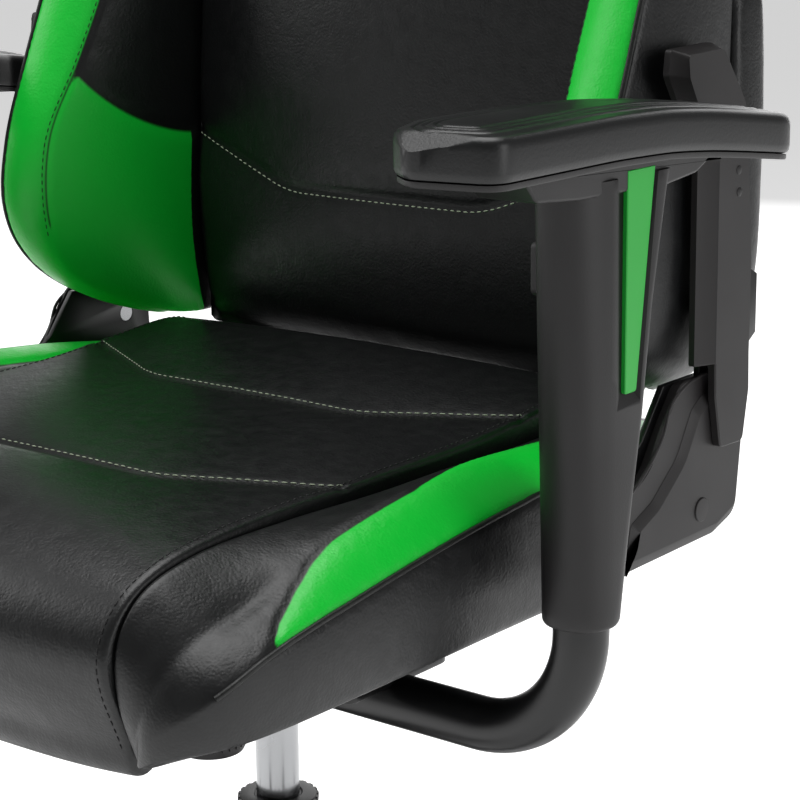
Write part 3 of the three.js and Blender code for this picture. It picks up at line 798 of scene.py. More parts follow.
def halfSeam(seam, across, soften=10.0):
    # where a seam that is mirrored about the middle lies, with its corner eased
    a, b = np.array(seam).T
    x = np.abs(across)
    return (np.interp(x - soften, a, b) + np.interp(x, a, b) + np.interp(x + soften, a, b)) / 3


def seamTilt(seam):
    (x0, y0), (x1, y1) = seam[-2], seam[-1]
    return math.cos(math.atan2(abs(y1 - y0), x1 - x0))


def padRings(side, half, edge, step):
    # the side outline swept across, drawn in at both ends
    line = evenLine(smoothLine(side, 6, closed=True), step, closed=True)
    normal = outlineNormals(line)
    middle = np.linspace(-(half - edge), half - edge, int(round(2 * (half - edge) / step)) + 1)
    stations = [(x, 0.0) for x in middle]
    bend = [(edge * math.sin(t), edge * (1 - math.cos(t))) for t in (0.4, 0.8, 1.2, math.pi / 2)]
    stations = [(-(half - edge) - out, inset) for out, inset in reversed(bend)] + stations
    stations += [(half - edge + out, inset) for out, inset in bend]
    return line, normal, stations


def makeSeatPad():
    size = seatPad
    line, normal, stations = padRings(size["side"], size["half"], size["edge"], size["step"])
    top = ramp(line[:, 1], 452, 480) * ramp(normal[:, 1] - normal[:, 0], -0.2, 0.4)
    nose = ramp(-line[:, 0], 280, 312) * ramp(500 - line[:, 1], 0, 30)
    rings = []
    for x, inset in stations:
        swell = size["crown"] * (1 - (abs(x) / size["half"]) ** 2.5) * top
        swell = np.maximum(swell, size["bow"] * (1 - (abs(x) / size["half"]) ** 5) * nose)
        rings.append(along("X", x, line + normal * (swell - inset)[:, None]))
    points, faces = skin(rings, ends="flat")
    piece = makePiece("seat_pad", points, faces)
    frontTilt, rearTilt = seamTilt(size["frontSeam"]), seamTilt(size["rearSeam"])

    def seamGap():
        p, n = readPoints(piece), readNormals(piece)
        front = (p[:, 1] - halfSeam(size["frontSeam"], p[:, 0])) * frontTilt
        rear = (halfSeam(size["rearSeam"], p[:, 0]) - p[:, 1]) * rearTilt
        up = ramp(n[:, 2], 0.2, 0.6)
        return np.minimum(front, rear) * up - 60 * (1 - up), p, n

    gap, p, n = seamGap()
    writePoints(piece, p - n * (2.2 * bell(gap, 16) * ramp(size["half"] - np.abs(p[:, 0]), 0, 12))[:, None])
    held = np.maximum(bell(gap, 4), ramp(np.abs(p[:, 0]), size["half"] - 8, size["half"] - 2))
    held = np.maximum(held, 1 - ramp(p[:, 2], 458, 480))
    puff(piece, held, 5)
    finer(piece)
    gap, p, n = seamGap()
    pressSeams(piece, gap, depth=1.6)
    setValue(piece, "trim", -np.abs(gap) - 0.01)
    standFor(piece, "seat_cushion", material=blackLeather, fill=0.85)
    body = bodyOf["seat_cushion"]
    tree = surfaceOf(piece)
    rows = []
    for seam, tilt in ((size["frontSeam"], frontTilt), (size["rearSeam"], rearTilt)):
        x = np.linspace(-171, 171, 120)
        rows.append(layOn(tree, np.stack([x, halfSeam(seam, x) + 3.4 / tilt, np.full(120, 600)], axis=1),
                          (0, 0, -1)))
    addDetail(grow("thread", "seat_pad_stitches", rows, Finish=paleThread), body)
    # a closer dark row holds the pad to the bolsters on each side
    edge = [(y, z) for y, z in smoothLine(size["side"][:14], 6) if y < 105]
    rows = [settle(tree, [(x, y, z) for y, z in edge], 0.1) for x in (-171.5, 171.5)]
    addDetail(grow("thread", "seat_pad_edge_stitches", rows, Finish=darkThread), body)


# Seat: the side bolsters, each drawn by curves that run from the back to the front

seatBolster = {
    "inner foot": [(178, 150, 506), (178, 80, 456), (178, 0, 453), (178, -100, 452), (178, -200, 451),
                   (178, -250, 450), (178, -275, 449), (179, -290, 448), (181, -298, 447), (185, -306, 446)],
    "inner edge": [(178, 150, 526), (178, 80, 538), (178, 0, 537), (178, -100, 538), (178, -200, 543),
                   (178, -262, 542), (178, -298, 532), (178, -315, 511), (178, -314, 478), (184, -308, 450)],
    "crest": [(208, 150, 527), (212, 80, 538), (214, 0, 549), (215, -100, 554.5), (213, -200, 539),
              (210, -255, 519), (206, -293, 509), (199, -311, 494), (191, -315, 470), (185, -309, 450)],
    "piping": [(240, 150, 518), (241, 80, 528), (241, 0, 536), (241, -100, 531), (240, -200, 518),
               (237, -265, 506), (231, -296, 493), (217, -312, 480), (198, -317, 466), (186, -311, 450)],
    "outer foot": [(240, 150, 505), (241, 80, 471), (241, 0, 466), (241, -100, 466), (239, -200, 465),
                   (234, -265, 463), (226, -290, 461), (213, -307, 459), (198, -313, 454), (186, -310, 448)],
    "underside": [(210, 150, 503), (212, 80, 452), (212, 0, 451), (212, -100, 451), (211, -200, 450),
                  (207, -255, 451), (203, -285, 451), (197, -300, 450), (191, -306, 448), (185, -308, 447)],
}
# how far across the green panel begins, along the bolster: 0 is its inner edge, 1 the crest and 2 the piping
greenEdge = [(150, 0.3), (0, 0.4), (-60, 0.55), (-100, 0.85), (-130, 1.0), (-195, 1.0), (-215, 1.12),
             (-232, 1.33),
             (-249, 1.64), (-259, 2.0)]
seatBolsterBulge = [0.0, 0.02, 0.07, 0.06, 0.0, 0.0]     # how far each panel swells, as a share of its width


def panelLoft(curves, bulges, step, perSpan=6, steps=None):
    # rings through control curves, with a swollen panel between each two of them
    dense = [smoothLine(c, perSpan) for c in curves]
    middle = np.mean(dense, axis=0)
    length = np.concatenate([[0], np.cumsum(np.linalg.norm(np.diff(middle, axis=0), axis=1))])
    at = np.linspace(0, length[-1], int(round(length[-1] / step)) + 1)
    dense = [np.stack([np.interp(at, length, c[:, k]) for k in range(3)], axis=1) for c in dense]
    middle = np.mean(dense, axis=0)
    heading = np.gradient(middle, axis=0)
    heading /= np.linalg.norm(heading, axis=1, keepdims=True)
    count = len(curves)
    if steps is None:
        steps = [max(2, int(round(np.max(np.linalg.norm(dense[(k + 1) % count] - dense[k], axis=1)) / step)))
                 for k in range(count)]
    rings, firsts = [], np.concatenate([[0], np.cumsum(steps)])
    for i in range(len(at)):
        ring = []
        area = sum(np.cross(dense[k][i] - middle[i], dense[(k + 1) % count][i] - middle[i]) @ heading[i]
                   for k in range(count))
        for k in range(count):
            a, b = dense[k][i], dense[(k + 1) % count][i]
            out = np.cross(b - a, heading[i]) * (1 if area > 0 else -1)
            width = np.linalg.norm(b - a)
            out = out / max(np.linalg.norm(out), 1e-6) * width * bulges[k]
            for j in range(steps[k]):
                t = j / steps[k]
                ring.append(a + (b - a) * t + out * 4 * t * (1 - t))
        rings.append(np.array(ring))
    return np.array(rings), firsts


def arcAlong(rings):
    # distance round each ring from its first point
    step = np.linalg.norm(np.roll(rings, -1, axis=1) - rings, axis=2)
    return np.concatenate([np.zeros((len(rings), 1)), np.cumsum(step, axis=1)[:, :-1]], axis=1)


def withEnds(values):
    # the same values on the points that close the ends of a fan
    first, last = values[0], values[-1]
    return np.concatenate([first, first, values.ravel(), last, last, [first.mean(), last.mean()]])


def makeSeatBolster(side):
    rings, first = panelLoft(list(seatBolster.values()), seatBolsterBulge, 5.5)
    arc = arcAlong(rings)
    inner, crest, pipe = (arc[:, first[k]][:, None] for k in (1, 2, 3))
    forward, share = np.array(greenEdge)[::-1].T
    across = np.interp(rings[:, first[2]:first[2] + 1, 1], forward, share)
    start = np.where(across < 1, inner + (crest - inner) * across, crest + (pipe - crest) * (across - 1))
    tip = rings[:, first[2]:first[2] + 1, 1] + 262
    green = np.minimum(np.minimum(arc - start, pipe - arc), tip)
    points, faces = skin(rings)
    piece = makePiece(f"seat_bolster_cover_{side}", points, faces, mirrored=sides[side] < 0)
    setValue(piece, "trim", withEnds(green))
    hidden = np.zeros_like(arc)
    hidden[:, :first[1] + 1] = 1
    hidden[:, first[4]:] = 1
    hidden[:2] = hidden[-3:] = 1
    held = np.maximum(hidden, bell(green, 4))
    puff(piece, withEnds(held), 4)
    finer(piece)
    values = np.empty(len(piece.data.vertices), np.float32)
    piece.data.attributes["trim"].data.foreach_get("value", values)
    pressSeams(piece, values * 1000, depth=1.3, width=2.4)
    node = f"seat_bolster_{side}"
    standFor(piece, node, material=greenLeather, fill=0.85)
    # cord piping under the green panel
    turn = sides[side]
    tree = surfaceOf(piece)
    line = [(turn * x, y, z) for x, y, z in rings[3:-8, first[3]]]
    addDetail(grow("piping", f"seat_bolster_piping_{side}", [settle(tree, line, 0.5)], Radius=0.0017,
                   Finish=pipingLeather), bodyOf[node])
    return piece


makeSeatPad()
for side in sides:
    makeSeatBolster(side)
print("seat ready")


# Backrest: the middle pad

backPad = {
    "half": 171, "edge": 6, "crown": 12, "step": 5.5,
    "front": [(131, 548), (122, 557), (116, 573), (112, 600), (109, 654), (112, 700), (118, 780), (126, 880),
              (134, 980),
              (142, 1078), (148, 1086)],
    "rear": [(160, 1087), (155, 980), (150, 850), (143, 700), (138, 600), (137, 552)],
    # seams across the front, as (x, z) for one half
    "lowSeam": [(0, 654), (80, 654), (172, 688)], "highSeam": [(0, 948), (80, 948), (172, 914)],
}


def makeBackPad():
    size = backPad
    line, normal, stations = padRings(size["front"] + size["rear"], size["half"], size["edge"], size["step"])
    face = ramp(-normal[:, 0], 0.1, 0.7)
    rings = []
    for x, inset in stations:
        sink = size["crown"] * (abs(x) / size["half"]) ** 2 * face
        ring = line - normal * inset
        rings.append(along("X", x, np.stack([ring[:, 0] + sink, ring[:, 1]], axis=1)))
    points, faces = skin(rings, ends="flat")
    piece = makePiece("back_pad", points, faces)
    tilt = seamTilt(size["lowSeam"])

    def seamGap():
        p, n = readPoints(piece), readNormals(piece)
        low = (p[:, 2] - halfSeam(size["lowSeam"], p[:, 0])) * tilt
        high = (halfSeam(size["highSeam"], p[:, 0]) - p[:, 2]) * tilt
        out = ramp(-n[:, 1], 0.2, 0.6)
        return np.minimum(low, high) * out - 60 * (1 - out), p, n

    gap, p, n = seamGap()
    writePoints(piece, p - n * (2.0 * bell(gap, 16))[:, None])
    held = np.maximum(bell(gap, 4), ramp(np.abs(p[:, 0]), size["half"] - 8, size["half"] - 2))
    held = np.maximum(held, ramp(n[:, 1], -0.3, 0.1))
    puff(piece, held, 5)
    finer(piece)
    gap, p, n = seamGap()
    pressSeams(piece, gap, depth=1.4)
    setValue(piece, "trim", -np.abs(gap) - 0.01)
    standFor(piece, "back_cushion", material=blackLeather, fill=0.85)
    tree = surfaceOf(piece)
    rows = []
    for seam, way in ((size["lowSeam"], 1), (size["highSeam"], -1)):
        x = np.linspace(-168, 168, 120)
        rows.append(layOn(tree, np.stack([x, np.full(120, 60), halfSeam(seam, x) - way * 3.2 / tilt],
                                         axis=1), (0, 1, 0)))
    addDetail(grow("thread", "back_pad_stitches", rows, Finish=paleThread), bodyOf["back_cushion"])


# Backrest: the side bolsters, each drawn by curves that run from the bottom to the top

backBolster = {
    "levels": [556, 568, 590, 615, 645, 690, 740, 800, 870, 950, 1020, 1086],
    "inner seam": [(172.5, y) for y in (128, 125, 121, 118, 118, 121, 124, 127, 131, 135, 139, 143)],
    "strip seam": [(192, 110), (197, 74), (201, 34), (202, 16), (202, 9), (200, 13), (194, 38), (192, 66),
                   (200, 80), (216, 84), (234, 82), (230, 98)],
    "piping": [(207, 108), (222, 74), (232, 34), (236, 11), (237, 1), (237, 8), (237, 28), (236, 52),
               (236, 69),
               (250, 69), (266, 66), (262, 84)],
    "outer rear": [(x, 139) for x in (211, 226, 235, 238, 238.5, 238.5, 238, 237, 235, 249, 265, 261)],
    "inner rear": [(172.5, 139)] * 12,
}
backBolsterBulge = [0.05, 0.12, 0.05, 0.0, 0.0]
crossSeam = {"x": 172, "z": 683, "rise": 2.1, "tilt": 0.62}     # where the lower green panel ends


def makeBackBolster(side):
    names = ["inner seam", "strip seam", "piping", "outer rear", "inner rear"]
    levels = backBolster["levels"]
    curves = []
    for name in names:
        shift = [recline(z) if "rear" in name else 0 for z in levels]
        curves.append([(x, y + s, z) for (x, y), z, s in zip(backBolster[name], levels, shift)])
    rings, first = panelLoft(curves, backBolsterBulge, 6)
    arc = arcAlong(rings)
    strip, pipe = arc[:, first[1]][:, None], arc[:, first[2]][:, None]
    x, z = rings[:, :, 0], rings[:, :, 2]
    below = (crossSeam["z"] + (x - crossSeam["x"]) * crossSeam["rise"] - z) * crossSeam["tilt"]
    band = np.minimum(arc - strip, pipe - arc)
    panel = np.minimum(np.minimum(arc + 4, strip - arc), below)
    green = np.maximum(band, panel)
    # the strip's seam fades out low down on the front
    blind = (np.abs(arc - strip) < 14) & (z < 640)
    green = np.where(blind, np.maximum(green, np.abs(green) + np.maximum(0, 630 - z) * 0.25), green)
    points, faces = skin(rings)
    piece = makePiece(f"back_bolster_cover_{side}", points, faces, mirrored=sides[side] < 0)
    setValue(piece, "trim", withEnds(green))
    hidden = np.zeros_like(arc)
    hidden[:, first[3]:] = 1
    hidden[:, :2] = 1
    hidden[:1] = hidden[-2:] = 1
    held = np.maximum(hidden, np.maximum(bell(green, 4), 0.7 * bell(arc - pipe, 5)))
    puff(piece, withEnds(held), 5)
    finer(piece)
    values = np.empty(len(piece.data.vertices), np.float32)
    piece.data.attributes["trim"].data.foreach_get("value", values)
    pressSeams(piece, values * 1000, depth=1.3, width=2.6)
    node = f"back_bolster_{side}"
    standFor(piece, node, material=greenLeather, fill=0.85)
    turn = sides[side]
    tree = surfaceOf(piece)
    line = [(turn * px, py, pz) for px, py, pz in rings[2:-1, first[2]]]
    addDetail(grow("piping", f"back_bolster_piping_{side}", [settle(tree, line, 0.6)], Radius=0.0019,
                   Finish=pipingLeather), bodyOf[node])
    # a green topstitch beside the strip's seam
    low = next(i for i, ring in enumerate(rings) if ring[0, 2] > 622)
    line = [(turn * (px + 3.0), py - 0.5, pz) for px, py, pz in rings[low:, first[1]]]
    addDetail(grow("thread", f"back_bolster_stitches_{side}", [settle(tree, line, 0.15)], Finish=greenThread),
              bodyOf[node])


makeBackPad()
for side in sides:
    makeBackBolster(side)
print("backrest cushions ready")


# Armrests

armSize = {
    "x": 290, "y": -85, "half": 20, "low": 481, "high": 716,
    # depth of the rounded front and of the rounded rear, and where the flat outer side ends
    "front": [(481, 20), (590, 26), (716, 33)], "rear": [(481, 19), (590, 8), (716, 7)],
    "flatEnd": [(481, -85), (539, -74), (590, -63), (648, -55), (705, -43), (716, -40)],
    "wing": [(-170, 727, 2), (-153, 712, 6), (-117, 709, 3), (-38, 707, 4), (-8, 710, 10), (10, 718, 5),
             (17, 722, 1)],
    "recess": [(-88, 717), (-85.5, 597), (-63, 599), (-48.5, 717)],
    "recessFloor": [(-79, 717), (-76.5, 604), (-64.5, 604), (-50.5, 717)],
    "insert": [(-75.5, 719, 0.5), (-75, 604, 2), (-64.5, 604, 2), (-49.8, 719, 0.5)],
    "tube": 15, "bend": 66, "tubeLow": 409,
    # the underside of the pad from front to rear, which droops behind the column
    "under": [(-222, 729), (-109, 729), (-61, 727.5), (-22, 724), (14, 719.5), (55, 714), (85, 710)],
    "pad": [(251, -176, 18), (264, -208, 14), (281, -221, 12), (327, -211, 14), (327, 73, 28), (268, 76, 15),
            (266, 42, 12), (251, 0, 16)],
    "padThick": 21, "padCrown": 3.2, "spine": (289, -186, 46), "chamfer": 9,
}


def padUnder(y):
    a, b = np.array(armSize["under"]).T
    return np.interp(y - 12, a, b) / 4 + np.interp(y, a, b) / 2 + np.interp(y + 12, a, b) / 4


def columnRing(z):
    size = armSize
    front, rear, flat = (np.interp(z, *np.array(size[k]).T) for k in ("front", "rear", "flatEnd"))
    turn = np.linspace(0, math.pi, 22)
    blunt = np.interp(z, [481, 590], [2.0, 2.8])
    c, s = np.cos(turn), np.sin(turn)
    wide = size["half"] * np.sign(c) * np.abs(c) ** (2 / 2.3)
    back = np.stack([wide, flat + rear * s ** (2 / blunt)], axis=1)
    c, s = np.cos(turn + math.pi), -np.sin(turn + math.pi)
    wide = size["half"] * np.sign(c) * np.abs(c) ** (2 / 2.2)
    nose = np.stack([wide, size["y"] - front * s ** (2 / 2.2)], axis=1)
    ring = np.vstack([back, nose])
    ring[:, 0] += size["x"]
    return along("Z", z, ring)


def towardSpine(outline, share):
    # draws the pad's outline in towards its middle line
    x, low, high = armSize["spine"]
    middle = np.stack([np.full(len(outline), float(x)), np.clip(outline[:, 1], low, high)], axis=1)
    return middle + (outline - middle) * (1 - share)


def makeArmPad(name, mirrored):
    size = armSize
    outline = evenLine(roundOutline(size["pad"], 10), 3.0, closed=True)
    thick, half = size["padThick"], 38.0
    levels = [(0.1, 0), (0.035, 0.8), (0.008, 2.6), (0, 5), (0, thick - 6), (0.004, thick - 3.6),
              (0.02, thick - 1.6),
              (0.05, thick - 0.4)]
    for mm in np.arange(3.2, 37, 1.1):
        share = mm / half
        crown = size["padCrown"] * (1 - (1 - share) ** 2)
        groove = sum(0.9 * bell(mm - at, 1.1) for at in (11, 17, 23))
        levels.append((share, thick + crown - groove))
    rings = []
    for share, rise in levels:
        ring = towardSpine(outline, share)
        under = padUnder(ring[:, 1])
        z = under + rise
        # the front is chamfered in one long facet, the rear in a short one
        ahead = (ring[:, 1] + 222) * 0.85 + thick - size["chamfer"]
        behind = (85 - ring[:, 1]) * 1.2 + thick - 6
        top = np.minimum(np.minimum(z - under, np.maximum(ahead, 0)), behind)
        rings.append(np.stack([ring[:, 0], ring[:, 1], under + np.where(z - under > 6, top, z - under)],
                              axis=1))
    points, faces = skin(rings, ends="flat")
    return makePiece(name, points, faces, mirrored, sharp=40)


def makeArmrest(side):
    size = armSize
    mirrored = sides[side] < 0
    heights = np.concatenate([[size["low"]] * 3, np.linspace(size["low"] + 3, size["high"], 40)])
    rings = []
    for k, z in enumerate(heights):
        ring = columnRing(z)
        if k < 3:       # a rounded lower rim
            middle = np.array([size["x"], size["y"], z])
            ring = middle + (ring - middle) * (0.9, 0.95, 0.985)[k]
            ring[:, 2] = size["low"] + (0, 0.5, 1.5)[k]
        rings.append(ring)
    points, faces = skin(rings, ends="flat")
    column = makePiece(f"arm_column_{side}", points, faces, mirrored, sharp=45)
    deep, shallow = np.array(size["recessFloor"]), np.array(size["recess"])
    points, faces = skin([along("X", 306.2, deep), along("X", 310.4, shallow), along("X", 316, shallow)],
                         ends="flat")
    cut(column, makePiece("recess", points, faces, mirrored))
    wing = roundOutline(size["wing"], 5)
    wing[:, 1] = np.where(wing[:, 1] > 721, padUnder(wing[:, 0]) - 3.0, wing[:, 1])
    plate = slab("wing", wing, [(x + size["x"], inset) for x, inset in softLevels(-18, 18.5, 2.0)],
                 mirrored=mirrored)
    column = joined(f"arm_column_{side}", column, plate)
    edge = column.modifiers.new("edge", "BEVEL")
    edge.width, edge.segments, edge.limit_method, edge.angle_limit = 0.0009, 2, "ANGLE", math.radians(40)
    standFor(column, f"arm_sleeve_{side}", material=texturedAbs)
    insert = slab(f"arm_inlay_{side}", roundOutline(size["insert"], 4),
                  [(305.8, 0), (308.3, 0), (308.8, 0.5)],
                  mirrored=mirrored)
    standFor(insert, f"arm_insert_{side}", material=greenAbs)
    face = size["x"] - size["half"]
    button = slab(f"arm_latch_{side}", roundOutline([(-98, 654, 4), (-76, 654, 4), (-76, 682, 4),
                                                     (-98, 682, 4)], 5),
                  [(face + 1, 0), (face - 3.6, 0), (face - 4.6, 0.5), (face - 5, 1.6)], mirrored=mirrored)
    standFor(button, f"arm_button_{side}", material=texturedAbs)
    outline = evenLine(roundOutline(size["pad"], 10), 4.0, closed=True)
    rings = []
    for share, drop in ((0.16, -3.2), (0.06, -3.2), (0.045, -2.4), (0.045, -0.2), (0.16, -0.2)):
        ring = towardSpine(outline, share)
        rings.append(np.stack([ring[:, 0], ring[:, 1], padUnder(ring[:, 1]) + drop], axis=1))
    points, faces = skin(rings, ends="flat")
    standFor(makePiece(f"arm_pad_base_{side}", points, faces, mirrored, sharp=40), f"pad_plate_{side}",
             material=texturedAbs)
    standFor(makeArmPad(f"arm_pad_skin_{side}", mirrored), f"arm_pad_{side}", material=skinFoam, fill=0.95)
    # the bent tube that carries it
    x, y, low, bend = size["x"], size["y"], size["tubeLow"], size["bend"]
    path = [(x, y, z) for z in np.linspace(636, low + bend + 8, 8)]
    path += [(x - bend + bend * math.cos(t), y, low + bend - bend * math.sin(t))
             for t in np.linspace(0, math.pi / 2, 26)]
    path += [(px, y, low) for px in np.linspace(x - bend - 8, 112, 10)]
    bar = tubePiece("bar", path, size["tube"], 28, mirrored)
    foot = slab("foot", roundOutline([(100, y - 45, 8), (170, y - 45, 8), (170, y + 45, 8),
                                      (100, y + 45, 8)], 5),
                softLevels(419.7, 423.7, 0.8), axis="Z", mirrored=mirrored)
    saddle = slab("saddle", roundOutline([(114, y - 10, 3), (160, y - 10, 3), (160, y + 10, 3),
                                          (114, y + 10, 3)], 3),
                  [(413, 0), (422.7, 0)], axis="Z", mirrored=mirrored)
    standFor(joined(f"arm_bar_{side}", bar, foot, saddle), f"arm_tube_{side}", material=powderCoat)


# Recliner covers, as (y, z, corner radius)

coverShape = {
    "plate": [(-38, 492, 4), (-28, 473, 12), (112, 474, 10), (138, 482, 14), (143, 526, 30), (141, 566, 22),
              (112, 575, 16), (72, 574, 14), (55, 552, 12), (40, 529, 30), (-2, 508, 30)],
    "face": [(4, 474.5, 2), (112, 475, 12), (137, 484, 12), (142, 526, 24), (139, 562, 20), (108, 570, 16),
             (84, 556, 10), (68, 530, 30), (42, 510, 20), (20, 501, 6), (17, 489, 10)],
    "lip": [(112, 575), (92, 574), (76, 571), (61, 562), (54, 547), (42, 534), (28, 524), (2, 510),
            (-36, 494)],
    "arm": [(84, 581, 2), (83, 706, 10), (66, 727, 12), (50, 752, 6), (52, 766, 3), (98, 767, 9),
            (126, 731, 22),
            (135, 640, 30), (135, 581, 2)],
    "armFace": [(95, 582, 1), (94, 702, 10), (76, 724, 12), (60, 750, 5), (58, 763, 3), (96, 764, 9),
                (123, 730, 22), (133, 640, 30), (133, 582, 2)],
    "armFoot": [(95, 586, 1), (96, 562, 10), (103, 530, 5), (129, 529, 5), (135, 560, 10), (134, 586, 1)],
}


def makeCovers(side):
    mirrored = sides[side] < 0
    shape = {name: roundOutline(corners, 6) for name, corners in coverShape.items() if name != "lip"}
    plate = slab("plate", shape["plate"], [(250.3, 0), (252.2, 0), (253, 0.8)], mirrored=mirrored)
    back = slab("back", roundOutline([(-34, 492, 4), (-26, 475, 8), (86, 476, 3), (86, 572, 3), (74, 572, 8),
                                      (56, 550, 8),
                                      (40, 527, 20), (0, 506, 20)], 4), [(245.2, 0), (251, 0)],
                mirrored=mirrored)
    face = slab("face", shape["face"], [(252.4, 0), (253.2, 0), (256.4, 6.0), (256.4, 6.4)],
                mirrored=mirrored)
    lip = tubePiece("lip", [(252.7, y, z) for y, z in evenLine(smoothLine(coverShape["lip"], 6), 4)], 1.1, 8,
                    mirrored)
    node = f"hinge_cover_{side}"
    standFor(joined(f"recliner_cover_{side}", plate, back, face, lip), node, material=mistAbs)
    low, high = shape["arm"], shape["armFace"]
    points, faces = skin([along("X", 250.2, low), along("X", 254, low),
                          along("X", 261.4, high + (low - high) * 0.04),
                          along("X", 262, high)], ends="flat")
    upper = makePiece("upper", points, faces, mirrored, sharp=32)
    foot = slab("foot", shape["armFoot"], [(256.8, 0), (261, 0), (261.8, 0.8)], mirrored=mirrored)
    standFor(joined(f"recline_arm_shell_{side}", upper, foot), f"recline_arm_cover_{side}", material=mistAbs)
    plugs = [turnedPiece("plug", [(0, 261.5), (2.7, 261.5), (2.7, 262.2), (2.1, 262.5), (0, 262.5)],
                         (0, y, z), 20, "X",
                         mirrored) for y, z in ((116, 693), (117, 680))]
    addDetail(joined(f"recline_arm_plugs_{side}", *plugs), bodyOf[f"recline_arm_cover_{side}"],
              texturedAbs)
    # bolt head of the pivot, in front of the cover's edge
    pin = turnedPiece(f"pivot_bolt_{side}",
                      [(0, 240.7), (5.9, 240.7), (5.9, 249.2), (8.6, 249.4), (8.6, 249.9), (0, 249.9)],
                      (0, 118, 548), 28, "X", mirrored)
    standFor(pin, f"recline_pin_{side}", material=chrome)
    for node in (f"recliner_seat_plate_{side}", f"recliner_back_plate_{side}"):
        softened(node, 0.5, powderCoat)


for side in sides:
    makeArmrest(side)
    makeCovers(side)
cap = turnedPiece("screw_cap", [(0, 256.0), (7.3, 256.0), (7.3, 256.9), (6.8, 257.3), (2, 257.5), (0, 257.5)],
                  (0, 92, 494), 40, "X")
standFor(cap, "hinge_screw_cap", material=mistAbs)
print("armrests and recliner ready")


# Upper back and rear shell, drawn as (x, z) outlines for one half

backShell = {
    "head": [(262, 1088), (256, 1128), (236, 1156), (178, 1196), (156, 1232), (150, 1286), (130, 1316),
             (80, 1328)],
    "rear": [(214, 578), (238, 602), (243, 690), (240, 760), (234, 850), (247, 950), (263, 1020), (260, 1088),
             (248, 1134), (176, 1192), (150, 1232), (145, 1286), (124, 1312), (76, 1325)],
    "slot": [(88, 1128, 14), (158, 1116, 12), (150, 1166, 14), (96, 1186, 12)],
    # the head pad: its depth from front to rear, its rounded edge, how far the shoulders come forward of its
    # middle, the dish in its middle and the height of its seam
    "headDepth": (96, 141), "headEdge": 9, "shoulder": 22, "dish": 5, "headSeam": 1204,
    # the green on the shoulders: its width from the edge, its top and its inner end
    "band": 27, "greenTop": 1190, "greenInner": 175,
    # the rear shell's seam, measured in from its edge
    "rearSeam": 34,
}


def wholeOutline(half, foot):
    # closes a half outline about the middle; a foot adds the straight lower side
    line = smoothLine(half, 6)
    other = line[::-1] * (-1, 1)
    bottom = np.linspace((-line[0][0], line[0][1]), (line[0][0], line[0][1]),
                         20)[1:-1] if foot else np.zeros((0, 2))
    return evenLine(np.vstack([line, other, bottom]), 6, closed=True)


def leanBack(piece):
    p = readPoints(piece)
    p[:, 1] += recline(p[:, 2])
    writePoints(piece, p)


def cutSlots(piece):
    for turn in (1, -1):
        outline = roundOutline(backShell["slot"], 6) * (turn, 1)
        cut(piece, slab("slot", outline, [(40, 0), (240, 0)], axis="Y"))


def edgeGap(points, outline):
    # how far a point lies inside an outline, seen from the front
    closed = np.vstack([outline, outline[:1]])
    best = np.full(len(points), 1e9)
    for a, b in zip(closed[:-1], closed[1:]):
        way = b - a
        t = np.clip(((points - a) @ way) / max(way @ way, 1e-9), 0, 1)
        best = np.minimum(best, np.linalg.norm(points - a - t[:, None] * way, axis=1))
    return best


def makeHead():
    size = backShell
    outline = wholeOutline(size["head"], True)
    piece = slab("head_pad", outline, softLevels(*size["headDepth"], size["headEdge"], 4), axis="Y")
    cutSlots(piece)
    evenMesh(piece, 6, 4)
    p, n = readPoints(piece), readNormals(piece)
    gap = edgeGap(p[:, [0, 2]], outline)
    face = ramp(-n[:, 1], 0.2, 0.7)
    ledge = ramp(p[:, 2], 1090, 1150)
    middle = bell(p[:, 0], 90) * ramp(p[:, 2], 1190, 1240)
    inboard = 1 - ramp(np.abs(p[:, 0]), 172, 232)
    p[:, 1] += face * (size["shoulder"] * (1 - ledge) * inboard - size["dish"] * middle)
    writePoints(piece, p)
    held = np.maximum(bell(gap, 8), 1 - face)
    puff(piece, held, 6)
    finer(piece)
    p = readPoints(piece)
    gap = edgeGap(p[:, [0, 2]], outline)
    front = ramp(130 - p[:, 1], 0, 8)
    side = np.minimum(gap - 3, size["band"] - gap)
    green = np.minimum(side, np.minimum(size["greenTop"] - p[:, 2], np.abs(p[:, 0]) - size["greenInner"]))
    green = np.where(front > 0.5, green, -20)
    seam = np.abs(p[:, 2] - size["headSeam"] - 14 * bell(p[:, 0], 70))
    mark = np.where((np.abs(p[:, 0]) < 150) & (front > 0.5), -seam, green)
    mark = np.where(green > -12, green, mark)
    pressSeams(piece, mark, depth=1.4, width=2.8)
    setValue(piece, "trim", mark)
    leanBack(piece)
    standFor(piece, "head_cushion", material=greenLeather, fill=0.85)


def makeRearShell():
    outline = wholeOutline(backShell["rear"], True)
    levels = [(141.5, 3), (143, 0.8), (150, 0), (172, 0), (180, 3), (185, 8), (187, 14)]
    piece = slab("rear_shell", outline, levels, axis="Y")
    cutSlots(piece)
    evenMesh(piece, 7, 5)
    p, n = readPoints(piece), readNormals(piece)
    gap = edgeGap(p[:, [0, 2]], outline)
    rear = ramp(n[:, 1], 0.2, 0.7)
    held = np.maximum(bell(gap - backShell["rearSeam"], 5), 1 - rear)
    puff(piece, held, 5, 3.0)
    finer(piece)
    p, n = readPoints(piece), readNormals(piece)
    gap = edgeGap(p[:, [0, 2]], outline)
    mark = np.where(n[:, 1] > 0.3, -np.abs(gap - backShell["rearSeam"]), -60)
    pressSeams(piece, mark, depth=1.5, width=3)
    setValue(piece, "trim", mark - 0.01)
    leanBack(piece)
    standFor(piece, "back_cover", material=blackLeather, fill=0.8)


